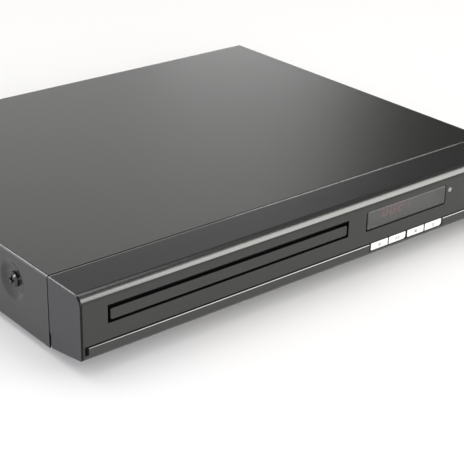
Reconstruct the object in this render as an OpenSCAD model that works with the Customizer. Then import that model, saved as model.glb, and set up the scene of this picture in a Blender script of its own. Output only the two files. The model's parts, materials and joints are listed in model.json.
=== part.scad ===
// Disc player with a sliding tray.
// The case stands on the plane z = 0, its front faces -Y and it is centred on x = 0.
// Depths named "y" are counted from the front face; case_y() puts them in the part's frame.

/* [Case] */
// Width of the case
body_w = 300; // [298:1:340]
// Depth from the front face to the back edge of the cover
body_d = 249; // [248:1:300]
// Height of the cover's side, from its bottom edge to the top
body_h = 37.9; // [37.9:0.1:50]
// Thickness of the sheet steel
sheet = 0.8; // [0.6:0.1:0.8]
// Outer radius of the cover's folded edges
fold_r = 1.2; // [1:0.1:2]
// Height of the rubber feet below the cover
foot_h = 4; // [3:0.5:6]
// Radius of a foot
foot_r = 11; // [8:0.5:12]

/* [Cover screws] */
// Distance of the front pair of side screws from the front face
side_screw_y = 59.5; // [50:0.5:70]
// Height of the side screws above the cover's bottom edge
side_screw_rise = 22.7; // [20:0.1:24]
// Radius of the pressed dimple around a side screw
dimple_r = 11; // [9:0.5:11]
// Depth of the dimple
dimple_depth = 2.1; // [1.9:0.1:2.1]

/* [Fascia] */
// Depth of the moulded fascia
fascia_d = 27; // [25:0.5:28]
// Radius along the fascia's top front edge
front_r = 5.5; // [3:0.5:6]
// Radius along the fascia's bottom front edge
chin_r = 3; // [2:0.5:4]
// How far the underside of the fascia climbs towards the front
chin_rise = 4; // [1:0.5:4]
// Wall thickness of the fascia
wall = 2.4; // [2:0.1:2.4]
// Height of the chin strip's top edge above the cover's bottom edge
chin_top = 11.5; // [11:0.1:12]

/* [Tray] */
// Width of the slot that the tray comes out of
slot_w = 151.1; // [151:0.1:153]
// Height of the slot
slot_h = 9.3; // [9.2:0.1:9.5]
// Distance of the slot's middle from the middle of the case, to the left
slot_offset = 59.8; // [58:0.1:62]
// Width of the door on the tray's front
door_w = 148.3; // [147:0.1:149]
// Height of the door
door_h = 5.7; // [5.5:0.1:6]
// Width of the tray behind its door
tray_w = 146; // [145:0.5:146]
// Length of the tray behind its door
tray_l = 187; // [180:1:190]
// Travel of the tray
tray_travel = 132; // [100:1:132]
// Distance of the disc's centre from the front face, tray closed
disc_y = 78; // [78:1:80]

/* [Buttons and display] */
// Height of a button's face
button_h = 4.2; // [3:0.1:4.3]
// Travel of a button
button_travel = 0.5; // [0.3:0.1:0.6]
// Width of the display window
window_w = 60.9; // [50:0.1:61]
// Height of the display window
window_h = 10.9; // [10:0.1:11]
// Height of a display digit
digit_h = 6.8; // [5:0.1:7]
// Slant of the digits in degrees
digit_slant = 8; // [0:1:10]

/* [Sockets] */
// Outer radius of a phono socket's sleeve
phono_r = 4.15; // [4.1:0.05:4.2]
// Length of a phono socket's sleeve behind the cover's back edge
phono_reach = 7.6; // [7:0.1:9]
// Distance between phono sockets
phono_pitch = 14; // [12:0.5:14]

/* [Hidden] */
$fn = 64;

// Planes of the case
y_front = -(body_d + phono_reach) / 2;
half_w = body_w / 2;
z_low = foot_h;
z_top = foot_h + body_h;
seam = 0.45;
floor_gap = 0.5;
floor_z = [z_low + floor_gap, z_low + floor_gap + sheet];
cover_y = [fascia_d + seam, body_d];
inner_x = half_w - sheet;
inner_z = z_top - sheet;
through = 1;

// Sliding fit between a moving piece and what guides it, and running fit of a bore on its pin
slide_gap = 0.3;
run_gap = 0.05;

// Standard screw: shank and head
screw_r = 1.4;
screw_hole_r = 1.45;
screw_head_r = 2.8;
screw_head_h = 1.8;
screw_l = 4.6;

function case_y(y) = y_front + y;

// Block between three spans, the y span counted from the front face
module block(x, y, z)
  translate([x[0], case_y(y[0]), z[0]])
    cube([x[1] - x[0], y[1] - y[0], z[1] - z[0]]);

// Profile in (y, z) pulled along x
module along_x(x)
  translate([x[0], y_front, 0])
    rotate([90, 0, 90])
      linear_extrude(x[1] - x[0])
        children();

// Outline in (x, z) pulled along y
module along_y(y)
  translate([0, case_y(y[1]), 0])
    rotate([90, 0, 0])
      linear_extrude(y[1] - y[0])
        children();

// Outline in (x, y) pulled up
module along_z(z)
  translate([0, y_front, z[0]])
    linear_extrude(z[1] - z[0])
      children();

// Round bars along each axis
module bar_x(x, y, z, r)
  translate([x[0], case_y(y), z])
    rotate([0, 90, 0])
      cylinder(h = x[1] - x[0], r = r);

module bar_y(x, y, z, r)
  translate([x, case_y(y[0]), z])
    rotate([-90, 0, 0])
      cylinder(h = y[1] - y[0], r = r);

module bar_z(x, y, z, r)
  translate([x, case_y(y), z[0]])
    cylinder(h = z[1] - z[0], r = r);

// Rectangle with round corners, centred
module rounded(w, h, r) {
  square([w - 2 * r, h], center = true);
  square([w, h - 2 * r], center = true);
  for (x = [-1, 1], y = [-1, 1])
    translate([x * (w / 2 - r), y * (h / 2 - r)])
      circle(r);
}

// Pan-head screw pointing down from z = 0, with a cross recess
module pan_screw(head_r, head_h, shank_r, shank_l) {
  slot_w = head_r * 0.3;
  slot_l = head_r * 1.25;
  slot_deep = head_h * 0.6;
  crown_r = head_r * 0.72;
  crown_h = head_h * 0.4;
  difference() {
    union() {
      cylinder(h = head_h - crown_h, r = head_r);
      translate([0, 0, head_h - crown_h])
        cylinder(h = crown_h, r1 = head_r, r2 = crown_r);
      translate([0, 0, -shank_l])
        cylinder(h = shank_l, r = shank_r);
    }
    for (turn = [0, 90])
      rotate(turn)
        translate([-slot_l / 2, -slot_w / 2, head_h - slot_deep])
          cube([slot_l, slot_w, head_h]);
  }
}

module small_screw()
  pan_screw(screw_head_r, screw_head_h, screw_r, screw_l);

// ---------------------------------------------------------------- case

// Side screws: a pair near the front and a pair near the back
back_screw_inset = 34;
side_screw_ys = [side_screw_y, body_d - back_screw_inset];
side_screw_z = z_low + side_screw_rise;
side_head_r = 3.9;
side_head_h = dimple_depth - 0.1;
dimple_floor_r = 6.2;
dimple_hole_r = 1.7;
dimple_face = half_w - dimple_depth;

// Screws through the cover's back lip
lip_h = 8.4;
lip_y = [body_d - sheet, body_d];
lip_screw_z = z_top - lip_h / 2;
lip_screw_xs = [-120, 0, 120];

// Cooling slots in the cover's sides, near the back
vent_w = 2.6;
vent_h = 17;
vent_pitch = 6;
vent_count = 9;
vent_first_y = 142;
vent_z = z_low + 20;

module cover_section() {
  inner_r = fold_r - sheet / 2;
  difference() {
    translate([0, z_low + body_h / 2])
      rounded_top(body_w, body_h, fold_r);
    translate([0, z_low + (body_h - sheet) / 2])
      rounded_top(body_w - 2 * sheet, body_h - sheet, inner_r);
  }
}

// Rectangle centred on the origin whose two upper corners are round
module rounded_top(w, h, r) {
  translate([-w / 2, -h / 2])
    square([w, h - r]);
  translate([-w / 2 + r, h / 2 - r])
    square([w - 2 * r, r]);
  for (x = [-1, 1])
    translate([x * (w / 2 - r), h / 2 - r])
      circle(r);
}

// Frustum lying along x that opens outwards at the case's side
module side_cone(side, y, outer_r, inner_r, face, depth)
  translate([side * face, case_y(y), side_screw_z])
    rotate([0, -side * 90, 0])
      cylinder(h = depth, r1 = outer_r, r2 = inner_r);

module top_cover() {
  color([0.26, 0.26, 0.25])
    difference() {
      union() {
        along_y(cover_y)
          cover_section();
        block([-inner_x, inner_x], lip_y, [z_top - lip_h, inner_z]);
        for (side = [-1, 1], y = side_screw_ys)
          side_cone(side, y, dimple_r, dimple_floor_r, half_w - sheet, dimple_depth);
      }
      for (side = [-1, 1], y = side_screw_ys) {
        side_cone(side, y, dimple_r, dimple_floor_r, half_w, dimple_depth);
        bar_x([side * half_w - dimple_r, side * half_w + dimple_r], y, side_screw_z, dimple_hole_r);
      }
      for (x = lip_screw_xs)
        bar_y(x, [lip_y[0] - through, lip_y[1] + through], lip_screw_z, dimple_hole_r);
      for (side = [-1, 1], i = [0 : vent_count - 1])
        translate([side * half_w, case_y(vent_first_y + i * vent_pitch), vent_z])
          rotate([0, 90, 0])
            translate([0, 0, -fold_r - through])
              linear_extrude(2 * (fold_r + through))
                rounded(vent_h, vent_w, vent_w / 2 - run_gap);
    }
}

// The chassis: floor, side flanges with tabs for the side screws, back flange, bosses
flange_out = inner_x - 2.2;
flange_x = [flange_out - sheet, flange_out];
flange_h = 8;
flange_y = [36, body_d - 3];
tab_w = 22;
tab_top = side_screw_z + 7;
back_flange_y = [body_d - 1.8 - sheet, body_d - 1.8];
back_flange_h = 12;
back_flange_x = [137, 146];
panel_screw_x = 141.5;
panel_screw_z = floor_z[1] + 9;
boss_r = 3.2;
foot_x = half_w - 24;
foot_ys = [40, body_d - 32];
foot_plug_r = 2.5;

// Boards and where their screws stand
board_t = 1.6;
board_z = floor_z[1] + 4;
main_board_x = [27, 102];
main_board_y = [125, body_d - 4];
power_board_x = [104, 144];
power_board_y = [105, body_d - 4];
board_inset = 4;

function corners(x, y) = [
  for (cx = [x[0] + board_inset, x[1] - board_inset], cy = [y[0] + board_inset, y[1] - board_inset * 4])
    [cx, cy]
];
board_screw_spots = concat(corners(main_board_x, main_board_y), corners(power_board_x, power_board_y));

// Ears of the loader, in the case's x
loader_ear_x = 80;
loader_ear_ys = [66, 186];
loader_ear_spots = [
  for (side = [-1, 1], y = loader_ear_ys)
    [side * loader_ear_x - slot_offset, y]
];
ear_z = [8, 9.6];

module bottom_chassis() {
  floor_x = inner_x - seam;
  floor_y = [fascia_d + 1, body_d - 1];
  slot_x = [35, 65];
  slot_y = 45;
  slot_w = 3;
  slot_count = 9;
  slot_pitch = 6;
  reach = 3 * sheet;
  color([0.62, 0.63, 0.64])
    difference() {
      union() {
        block([-floor_x, floor_x], floor_y, floor_z);
        for (side = [-1, 1]) {
          mirror([side < 0 ? 1 : 0, 0, 0]) {
            block(flange_x, flange_y, [floor_z[1], floor_z[1] + flange_h]);
            block(back_flange_x, back_flange_y, [floor_z[1], floor_z[1] + back_flange_h]);
            for (y = side_screw_ys)
              block(flange_x, [y - tab_w / 2, y + tab_w / 2], [floor_z[1], tab_top]);
          }
        }
        for (spot = board_screw_spots)
          bar_z(spot[0], spot[1], [floor_z[1], board_z], boss_r);
        for (spot = loader_ear_spots)
          bar_z(spot[0], spot[1], [floor_z[1], ear_z[0]], boss_r);
      }
      for (spot = concat(board_screw_spots, loader_ear_spots))
        bar_z(spot[0], spot[1], [floor_z[0] - through, board_z + through], screw_hole_r);
      for (side = [-1, 1], y = side_screw_ys)
        bar_x([side * flange_x[0] - reach, side * flange_x[0] + reach], y, side_screw_z, screw_hole_r);
      for (side = [-1, 1])
        bar_y(side * panel_screw_x, [back_flange_y[0] - through, back_flange_y[1] + through],
          panel_screw_z, screw_hole_r);
      for (side = [-1, 1], y = foot_ys)
        bar_z(side * foot_x, y, [floor_z[0] - through, floor_z[1] + through], foot_plug_r);
      for (i = [0 : slot_count - 1])
        block(slot_x, [slot_y + i * slot_pitch, slot_y + i * slot_pitch + slot_w],
          [floor_z[0] - through, floor_z[1] + through]);
    }
}

// The back panel and the openings for its sockets
panel_y = [body_d - 1.8, body_d - 1];
panel_x = inner_x - seam;
phono_z = 21.5;
phono_xs = [for (i = [0 : 3]) 51.5 + i * phono_pitch];
hdmi_x = 35.5;
hdmi_w = 15;
hdmi_h = 6;
inlet_x = 124;
inlet_z = 20.5;
inlet_w = 20;
inlet_h = 12;
inlet_corner = 2;

module rear_panel() {
  hole_gap = 0.5;
  slot_w = 2.4;
  slot_h = 15;
  slot_pitch = 6;
  slot_count = 18;
  slot_x = -128;
  color([0.10, 0.10, 0.11])
    difference() {
      block([-panel_x, panel_x], panel_y, [floor_z[1] + run_gap, inner_z - run_gap]);
      for (x = phono_xs)
        bar_y(x, [panel_y[0] - through, panel_y[1] + through], phono_z, phono_r + hole_gap);
      along_y([panel_y[0] - through, panel_y[1] + through]) {
        translate([hdmi_x, board_z + board_t + hdmi_h / 2])
          square([hdmi_w + hole_gap, hdmi_h + hole_gap], center = true);
        translate([inlet_x, inlet_z])
          rounded(inlet_w + hole_gap, inlet_h + hole_gap, inlet_corner);
        for (i = [0 : slot_count - 1])
          translate([slot_x + i * slot_pitch, z_low + body_h / 2])
            rounded(slot_w, slot_h, slot_w / 2 - run_gap);
      }
      for (x = lip_screw_xs)
        bar_y(x, [panel_y[0] - through, panel_y[1] + through], lip_screw_z, screw_hole_r);
      for (side = [-1, 1])
        bar_y(side * panel_screw_x, [panel_y[0] - through, panel_y[1] + through],
          panel_screw_z, screw_hole_r);
    }
}

module feet() {
  rim = 1.5;
  plug_r = foot_plug_r - run_gap;
  color([0.07, 0.07, 0.07])
    for (side = [-1, 1], y = foot_ys)
      translate([side * foot_x, case_y(y), 0]) {
        cylinder(h = rim, r1 = foot_r - rim, r2 = foot_r);
        translate([0, 0, rim])
          cylinder(h = floor_z[0] - rim, r = foot_r);
        translate([0, 0, floor_z[0]])
          cylinder(h = 2 * sheet, r = plug_r);
      }
}

module cover_side_screws() {
  shank_l = 6;
  color([0.72, 0.71, 0.69])
    for (side = [-1, 1], y = side_screw_ys)
      translate([side * dimple_face, case_y(y), side_screw_z])
        rotate([0, side * 90, 0])
          pan_screw(side_head_r, side_head_h, screw_r, shank_l);
}

module rear_screws() {
  color([0.30, 0.30, 0.31]) {
    for (x = lip_screw_xs)
      translate([x, case_y(lip_y[1]), lip_screw_z])
        rotate([-90, 0, 0])
          small_screw();
    for (side = [-1, 1])
      translate([side * panel_screw_x, case_y(panel_y[1]), panel_screw_z])
        rotate([-90, 0, 0])
          small_screw();
  }
}

// ---------------------------------------------------------------- fascia

chin_slope = atan(chin_rise / (fascia_d - chin_r));
chin_back_z = z_low + 0.1;
chin_mid_z = chin_back_z + (fascia_d - chin_r) * tan(chin_slope) + chin_r / cos(chin_slope);

// Outer outline of the fascia in (y, z)
module fascia_outline() {
  polygon([
    [fascia_d, z_top],
    [front_r, z_top],
    [0, z_top - front_r],
    [0, chin_mid_z],
    [chin_r - chin_r * sin(chin_slope), chin_mid_z - chin_r * cos(chin_slope)],
    [fascia_d, chin_back_z]
  ]);
  translate([front_r, z_top - front_r])
    circle(front_r);
  translate([chin_r, chin_mid_z])
    circle(chin_r);
}

// The chin strip: where it starts, how deep it sits and the groove above it
strip_top = z_low + chin_top;
strip_t = 2;
strip_edge_r = 0.8;
groove = 0.45;
pillar_w = 1.8;
notch_w = 2.1;
notch_low = z_low + 7.4;
strip_x = half_w - pillar_w;

// Buttons: spans along x, counted from the middle of the case
button_xs = [[33.6, 46.4], [47.2, 60.0], [61.4, 74.5], [75.3, 88.5]];
button_z = z_low + 9.2;
button_t = 3;
button_inset = 0.15;
button_corner = 1.6;
bay_x = [32.4, 89.5];
bay_z = [button_z - button_h / 2 - 0.25, strip_top + groove];

// Tray slot and display
tray_x = -slot_offset;
slot_z = z_low + 20.3;
door_rise = 1.4;
door_z = [slot_z + door_rise, slot_z + door_rise + door_h];
window_x = 59.35;
window_z = z_low + 25.3;
window_gap = 0.3;
window_rise = 0.18;
window_corner = 1.5;
led_x = 93.3;
led_z = z_low + 27.2;
led_r = 1.3;

// Where the front board is screwed on
front_board_y = [13.5, 15.1];
front_board_x = [18.5, 141];
front_board_z = [z_low + 6.5, z_top - 4.4];
front_bosses = [[22.5, z_low + 8.5], [104, z_low + 15], [136, z_low + 30]];
front_boss_r = 3;

module fascia_hollow() {
  chamfer = 2;
  polygon([
    [fascia_d + through, z_top - wall],
    [wall + chamfer, z_top - wall],
    [wall, z_top - wall - chamfer],
    [wall, strip_top + groove + wall],
    [strip_t + wall, strip_top + groove],
    [strip_t + wall, chin_mid_z],
    [fascia_d + through, chin_back_z + wall]
  ]);
}

// Notch in the back edge of each end: how far it reaches in, at each height above the cover's edge
end_notch = [[-1, 9], [0.9, 8], [1.1, 6.8], [0.8, 4.2], [0.8, 2.2], [1.4, 0.8], [2.2, -1], [-1, -1]];

module front_fascia() {
  end_wall = 2.5;
  lip_t = 1.2;
  lip_d = 6;
  lip_gap = 0.3;
  lip_x = inner_x - lip_gap;
  lip_z = inner_z - lip_gap;
  hook_w = 10;
  hook_t = 1.6;
  hook_d = 5;
  hook_xs = [-146, 30, 100];
  color([0.20, 0.20, 0.21])
    difference() {
      union() {
        difference() {
          along_x([-half_w, half_w])
            fascia_outline();
          along_x([-half_w + end_wall, half_w - end_wall])
            fascia_hollow();
        }
        // Lip that reaches under the cover
        block([-lip_x, lip_x], [fascia_d - wall, fascia_d + lip_d], [lip_z - lip_t, lip_z]);
        for (side = [-1, 1])
          mirror([side < 0 ? 1 : 0, 0, 0])
            block([lip_x - lip_t, lip_x], [fascia_d - wall, fascia_d + lip_d],
              [floor_z[1] + flange_h, lip_z]);
        for (x = hook_xs)
          block([x, x + hook_w], [fascia_d - wall, fascia_d + hook_d],
            [floor_z[1] + run_gap, floor_z[1] + hook_t]);
        for (spot = front_bosses)
          bar_y(spot[0], [wall - run_gap, front_board_y[0]], spot[1], front_boss_r);
      }
      for (side = [-1, 1])
        mirror([side < 0 ? 1 : 0, 0, 0])
          along_x([half_w - end_wall - run_gap, half_w + through])
            polygon([for (p = end_notch) [fascia_d - p[0], z_low + p[1]]]);
      // Seat of the chin strip
      along_x([-strip_x, strip_x])
        translate([-through, 0])
          square([strip_t + through, strip_top + groove]);
      // Bay behind the buttons
      block(bay_x, [-through, strip_t + 2 * wall], bay_z);
      // Tray slot
      block([tray_x - slot_w / 2, tray_x + slot_w / 2], [-through, 2 * wall], [slot_z, slot_z + slot_h]);
      // Window
      along_y([-through, 2 * wall])
        translate([window_x, window_z - window_rise])
          rounded(window_w + 2 * window_gap, window_h + 2 * window_gap, window_corner);
      bar_y(led_x, [-through, 2 * wall], led_z, led_r + run_gap);
      for (spot = front_bosses)
        bar_y(spot[0], [wall + 2, front_board_y[0] + through], spot[1], screw_hole_r);
    }
}

module strip_outline() {
  intersection() {
    fascia_outline();
    union() {
      square([strip_t, strip_top - strip_edge_r]);
      translate([strip_edge_r, 0])
        square([strip_t - strip_edge_r, strip_top]);
      translate([strip_edge_r, strip_top - strip_edge_r])
        circle(strip_edge_r);
    }
  }
}

module chin_strip() {
  color([0.22, 0.22, 0.23])
    difference() {
      along_x([-strip_x, strip_x])
        strip_outline();
      block(bay_x, [-through, strip_t + through], bay_z);
      for (side = [-1, 1])
        mirror([side < 0 ? 1 : 0, 0, 0])
          block([strip_x - notch_w, strip_x + through], [-through, strip_t + through],
            [notch_low, strip_top + through]);
    }
}

module display_window() {
  flange = 1.8;
  flange_t = 1.2;
  color([0.35, 0.35, 0.36, 0.5])
    translate([window_x, 0, window_z]) {
      along_y([0, wall])
        rounded(window_w, window_h, window_corner);
      along_y([wall, wall + flange_t])
        rounded(window_w + 2 * flange, window_h + 2 * flange, window_corner);
    }
}

module power_led() {
  body_r = 1.5;
  dome_l = wall + 1;
  color([0.75, 0.75, 0.72]) {
    bar_y(led_x, [0, dome_l], led_z, led_r);
    bar_y(led_x, [dome_l, front_board_y[0]], led_z, body_r);
  }
}

// A button: its face, with this radius on the lower right corner, and the stem behind it
module button(span, corner) {
  w = span[1] - span[0];
  stem_w = 5;
  stem_h = 2.6;
  stem_end = front_board_y[0] - switch_h - switch_gap;
  color([0.93, 0.93, 0.92])
    translate([(span[0] + span[1]) / 2, 0, button_z]) {
      along_y([button_inset, button_t])
        union() {
          translate([-w / 2, -button_h / 2 + corner])
            square([w, button_h - corner]);
          translate([-w / 2, -button_h / 2])
            square([w - corner, button_h]);
          if (corner > 0)
            translate([w / 2 - corner, -button_h / 2 + corner])
              circle(corner);
        }
      along_y([button_t, stem_end])
        square([stem_w, stem_h], center = true);
    }
}

module eject_button() { button(button_xs[0], 0); }
module play_button() { button(button_xs[1], button_corner); }
module stop_button() { button(button_xs[2], 0); }
module standby_button() { button(button_xs[3], button_corner); }

// ---------------------------------------------------------------- front board

switch_h = 2;
switch_gap = button_travel + 0.2;

module front_board() {
  color([0.10, 0.30, 0.16])
    difference() {
      block(front_board_x, front_board_y, front_board_z);
      for (spot = front_bosses)
        bar_y(spot[0], [front_board_y[0] - through, front_board_y[1] + through], spot[1], screw_hole_r);
    }
}

display_w = 30;
display_h = 10.4;
display_front = 6.2;
display_x = window_x - 1.4;
display_z = window_z - 1.05;

module display_module() {
  color([0.12, 0.12, 0.12])
    block([display_x - display_w / 2, display_x + display_w / 2], [display_front, front_board_y[0]],
      [display_z - display_h / 2, display_z + display_h / 2]);
}

// Seven-segment digits: a, b, c, d, e, f and g are counted from the top, clockwise, g last
digit_pitch = 5.9;
digit_w = 3.7;
stroke = 0.85;
shown = [0, 0, 2, 1];
segments_of = [
  [0, 1, 2, 3, 4, 5], [1, 2], [0, 1, 6, 4, 3], [0, 1, 6, 2, 3], [5, 6, 1, 2],
  [0, 5, 6, 2, 3], [0, 5, 4, 3, 2, 6], [0, 1, 2], [0, 1, 2, 3, 4, 5, 6], [0, 1, 2, 3, 5, 6]
];

function slanted(p) = [p[0] + p[1] * tan(digit_slant), p[1]];

// Pointed bar from one end of a segment to the other
function segment_points(a, b) =
  let (
    length = norm(b - a),
    ahead = (b - a) / length,
    aside = [-ahead[1], ahead[0]] * stroke / 2,
    inset = stroke * 0.08,
    tip_a = a + ahead * inset,
    tip_b = b - ahead * inset,
    shoulder = ahead * stroke / 2
  )
  [tip_a, tip_a + shoulder + aside, tip_b - shoulder + aside,
   tip_b, tip_b - shoulder - aside, tip_a + shoulder - aside];

segment_ends = [
  [[-1, 2], [1, 2]], [[1, 2], [1, 0]], [[1, 0], [1, -2]], [[1, -2], [-1, -2]],
  [[-1, -2], [-1, 0]], [[-1, 0], [-1, 2]], [[-1, 0], [1, 0]]
];
segment_t = 0.2;

module lit_segments() {
  half_digit = [(digit_w - stroke) / 2, (digit_h - stroke) / 4];
  function spot(corner) = [corner[0] * half_digit[0], corner[1] * half_digit[1]];
  first = -(len(shown) - 1) / 2;
  color([0.85, 0.20, 0.16])
    translate([display_x, 0, display_z])
      along_y([display_front - segment_t, display_front])
        for (i = [0 : len(shown) - 1], s = segments_of[shown[i]])
          translate([(first + i) * digit_pitch, 0])
            polygon([
              for (p = segment_points(spot(segment_ends[s][0]), spot(segment_ends[s][1])))
                slanted(p)
            ]);
}

module ir_receiver() {
  aside = 22;
  x = window_x + aside;
  size = 6;
  depth = 5;
  lens_r = 2;
  lens_l = 1;
  face = front_board_y[0] - depth;
  color([0.13, 0.10, 0.14]) {
    block([x - size / 2, x + size / 2], [face, front_board_y[0]], [window_z - size / 2, window_z + size / 2]);
    bar_y(x, [face - lens_l, face], window_z, lens_r);
  }
}

module tact_switches() {
  size = 6;
  knob_r = 1.5;
  knob_h = 0.5;
  rise = 0.4;
  z = [button_z - size / 2 + rise, button_z + size / 2 + rise];
  base_y = front_board_y[0] - switch_h + knob_h;
  color([0.16, 0.16, 0.17])
    for (span = button_xs) {
      x = (span[0] + span[1]) / 2;
      block([x - size / 2, x + size / 2], [base_y, front_board_y[0]], z);
      bar_y(x, [base_y - knob_h, base_y], button_z, knob_r);
    }
}

// Flat ribbon from the front board to the main board, with a plug at each end
module front_ribbon() {
  width = 14;
  t = 0.4;
  plug = [width + 2, 4, 3];
  x = 79;
  run_z = board_z + board_t + plug[2];
  end_y = main_board_y[0] + 8;
  color([0.82, 0.82, 0.80]) {
    block([x - width / 2, x + width / 2], [front_board_y[1] + plug[2], end_y], [run_z, run_z + t]);
    block([x - plug[0] / 2, x + plug[0] / 2], [front_board_y[1], front_board_y[1] + plug[2]],
      [run_z - plug[1] / 2, run_z + plug[1] / 2]);
    block([x - plug[0] / 2, x + plug[0] / 2], [end_y - plug[1], end_y], [run_z - plug[2], run_z]);
  }
}

// ---------------------------------------------------------------- tray

function loader_x(x) = tray_x + x;

module at_loader()
  translate([tray_x, 0, 0])
    children();

door_t = 3;
tray_y = [door_t, door_t + tray_l];
tray_rise = 1.1;
tray_z = [slot_z + tray_rise, door_z[1]];
tray_half = tray_w / 2;
disc_r = 61;
disc_t = 1.2;
small_disc_r = 41;
pocket_z = tray_z[1] - 1.9;
small_pocket_z = pocket_z - 0.5;
tray_floor_z = tray_z[1] - 3.5;
tray_slot_r = 20;
rim_w = 2;

// Gears of the loading drive
gear_module = 1;
tray_teeth = 20;
pinion_teeth = 12;
backlash = 0.12;
addendum = 0.8;
dedendum = 1.05;
pressure_angle = 20;
tray_gear_x = 55;
gear_y = 45;
tray_gear_pitch_r = gear_module * tray_teeth / 2;
pinion_pitch_r = gear_module * pinion_teeth / 2;
pulley_x = tray_gear_x - tray_gear_pitch_r - pinion_pitch_r;
rack_x = tray_gear_x + tray_gear_pitch_r;

function involute(angle) = tan(angle) * 180 / PI - angle;

// Half the angle that a tooth spans at radius r
function tooth_half_angle(r, pitch_r, thickness) =
  let (
    base_r = pitch_r * cos(pressure_angle),
    at_pitch = thickness / pitch_r / 2 * 180 / PI + involute(pressure_angle)
  )
  r <= base_r ? at_pitch : at_pitch - involute(acos(base_r / r));

// Outline of a spur gear, the first tooth pointing along x
function gear_points(teeth, m) =
  let (
    pitch_r = m * teeth / 2,
    low_r = pitch_r - m * dedendum,
    high_r = pitch_r + m * addendum,
    thickness = PI * m / 2 - backlash * sqrt(m),
    steps = 5
  )
  [
    for (tooth = [0 : teeth - 1], flank = [-1, 1], i = [0 : steps])
      let (
        share = (flank < 0 ? i : steps - i) / steps,
        r = low_r + (high_r - low_r) * share,
        angle = tooth * 360 / teeth + flank * tooth_half_angle(r, pitch_r, thickness)
      )
      [r * cos(angle), r * sin(angle)]
  ];

// Rack teeth pointing along -x from x = 0 at the pitch line, gaps centred on y = 0
module rack_teeth(m, low, high, back) {
  pitch = PI * m;
  thickness = pitch / 2 - backlash * sqrt(m);
  spread = tan(pressure_angle);
  tip = thickness / 2 - addendum * m * spread;
  root = thickness / 2 + dedendum * m * spread;
  for (i = [low : high])
    translate([0, (i + 0.5) * pitch])
      polygon([[dedendum * m, -root], [-addendum * m, -tip], [-addendum * m, tip], [dedendum * m, root]]);
  translate([dedendum * m - run_gap, low * pitch])
    square([back, (high - low + 1) * pitch]);
}

module tray_door() {
  corner = 1;
  color([0.19, 0.19, 0.20])
    translate([tray_x, 0, (door_z[0] + door_z[1]) / 2])
      along_y([0, door_t])
        rounded(door_w, door_h, corner);
}

module disc_tray() {
  corner = 4;
  rack_back = 2.4;
  rack_pitch = PI * gear_module;
  rack_low = -4;
  rack_high = floor((tray_travel + 3 * rack_pitch) / rack_pitch);
  notch_r = 14;
  notch_x = disc_r + 5;
  arm_well_x = [tray_slot_r + 2 * rim_w, tray_half - 8];
  arm_well_y = [disc_y + disc_r + 8, tray_y[1] - 5];
  color([0.15, 0.15, 0.16])
    at_loader()
      difference() {
        union() {
          // Deck of the tray
          along_z([tray_floor_z, tray_z[1]])
            tray_plan(corner);
          // Rim under the deck, and a rib beside the middle slot
          along_z([tray_z[0], tray_floor_z + run_gap])
            difference() {
              tray_plan(corner);
              translate([0, tray_y[0] + rim_w])
                translate([-tray_half + rim_w, 0])
                  square([tray_w - 2 * rim_w, tray_l]);
            }
          along_z([tray_z[0], tray_floor_z + run_gap])
            difference() {
              tray_slot_plan(tray_slot_r + rim_w, tray_y[1]);
              tray_slot_plan(tray_slot_r, tray_y[1] + through);
            }
          // Rack under the right side
          along_z([tray_z[0], tray_floor_z + run_gap])
            translate([rack_x, gear_y])
              rack_teeth(gear_module, rack_low, rack_high, rack_back);
        }
        bar_z(0, disc_y, [pocket_z, tray_z[1] + through], disc_r);
        bar_z(0, disc_y, [small_pocket_z, tray_z[1] + through], small_disc_r);
        // Finger notches beside the pocket
        for (side = [-1, 1])
          bar_z(side * notch_x, disc_y, [pocket_z, tray_z[1] + through], notch_r);
        along_z([tray_z[0] - through, tray_z[1] + through])
          tray_slot_plan(tray_slot_r, tray_y[1] + through);
        // Shallow wells in the tail of each arm
        for (side = [-1, 1])
          mirror([side < 0 ? 1 : 0, 0, 0])
            block(arm_well_x, arm_well_y, [pocket_z, tray_z[1] + through]);
      }
}

// Plan of the middle slot, round at the front and open at the back
module tray_slot_plan(r, back) {
  translate([0, disc_y])
    circle(r);
  translate([-r, disc_y])
    square([2 * r, back - disc_y]);
}

// Plan of the tray with round back corners
module tray_plan(corner) {
  translate([-tray_half, tray_y[0]])
    square([tray_w, tray_l - corner]);
  translate([-tray_half + corner, tray_y[0]])
    square([tray_w - 2 * corner, tray_l]);
  for (side = [-1, 1])
    translate([side * (tray_half - corner), tray_y[1] - corner])
      circle(corner);
}

// ---------------------------------------------------------------- loader

loader_y = [34, 200];
deck_z = [18.2, 19.7];
front_deck_y = [34, 56.5];
well_x = 53;
well_y = [56.5, 184];
side_deck_y = 59.5;
rail_in = tray_half + slide_gap;
rail_x = [rail_in, rail_in + 2.7];
rail_z = [ear_z[0], tray_z[1] + 1.8];
ledge_w = 3.3;
ledge_t = 2;

// Hinge of the lift frame
hinge_y = 178;
hinge_z = 16.5;
hinge_pin_r = 2;
hinge_boss_x = [well_x, 60];

// Posts that the gears turn on
post_r = 2;
gear_bore_r = post_r + run_gap;
gear_z = [22.9, 27.6];
pinion_top = gear_z[0] + 2.2;
hub_z = deck_z[1] + 0.2;
pulley_z = [hub_z + 0.1, hub_z + 2.7];
motor_x = 2;
motor_shaft_r = 1;
motor_shaft_l = 7;
motor_boss_r = 2.9;
motor_boss_h = 1;

// Bridge that carries the clamp
bridge_z = [34, 35.2];
bridge_y = [disc_y - 20, disc_y + 20];
clamp_hole_r = 15.4;

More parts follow.
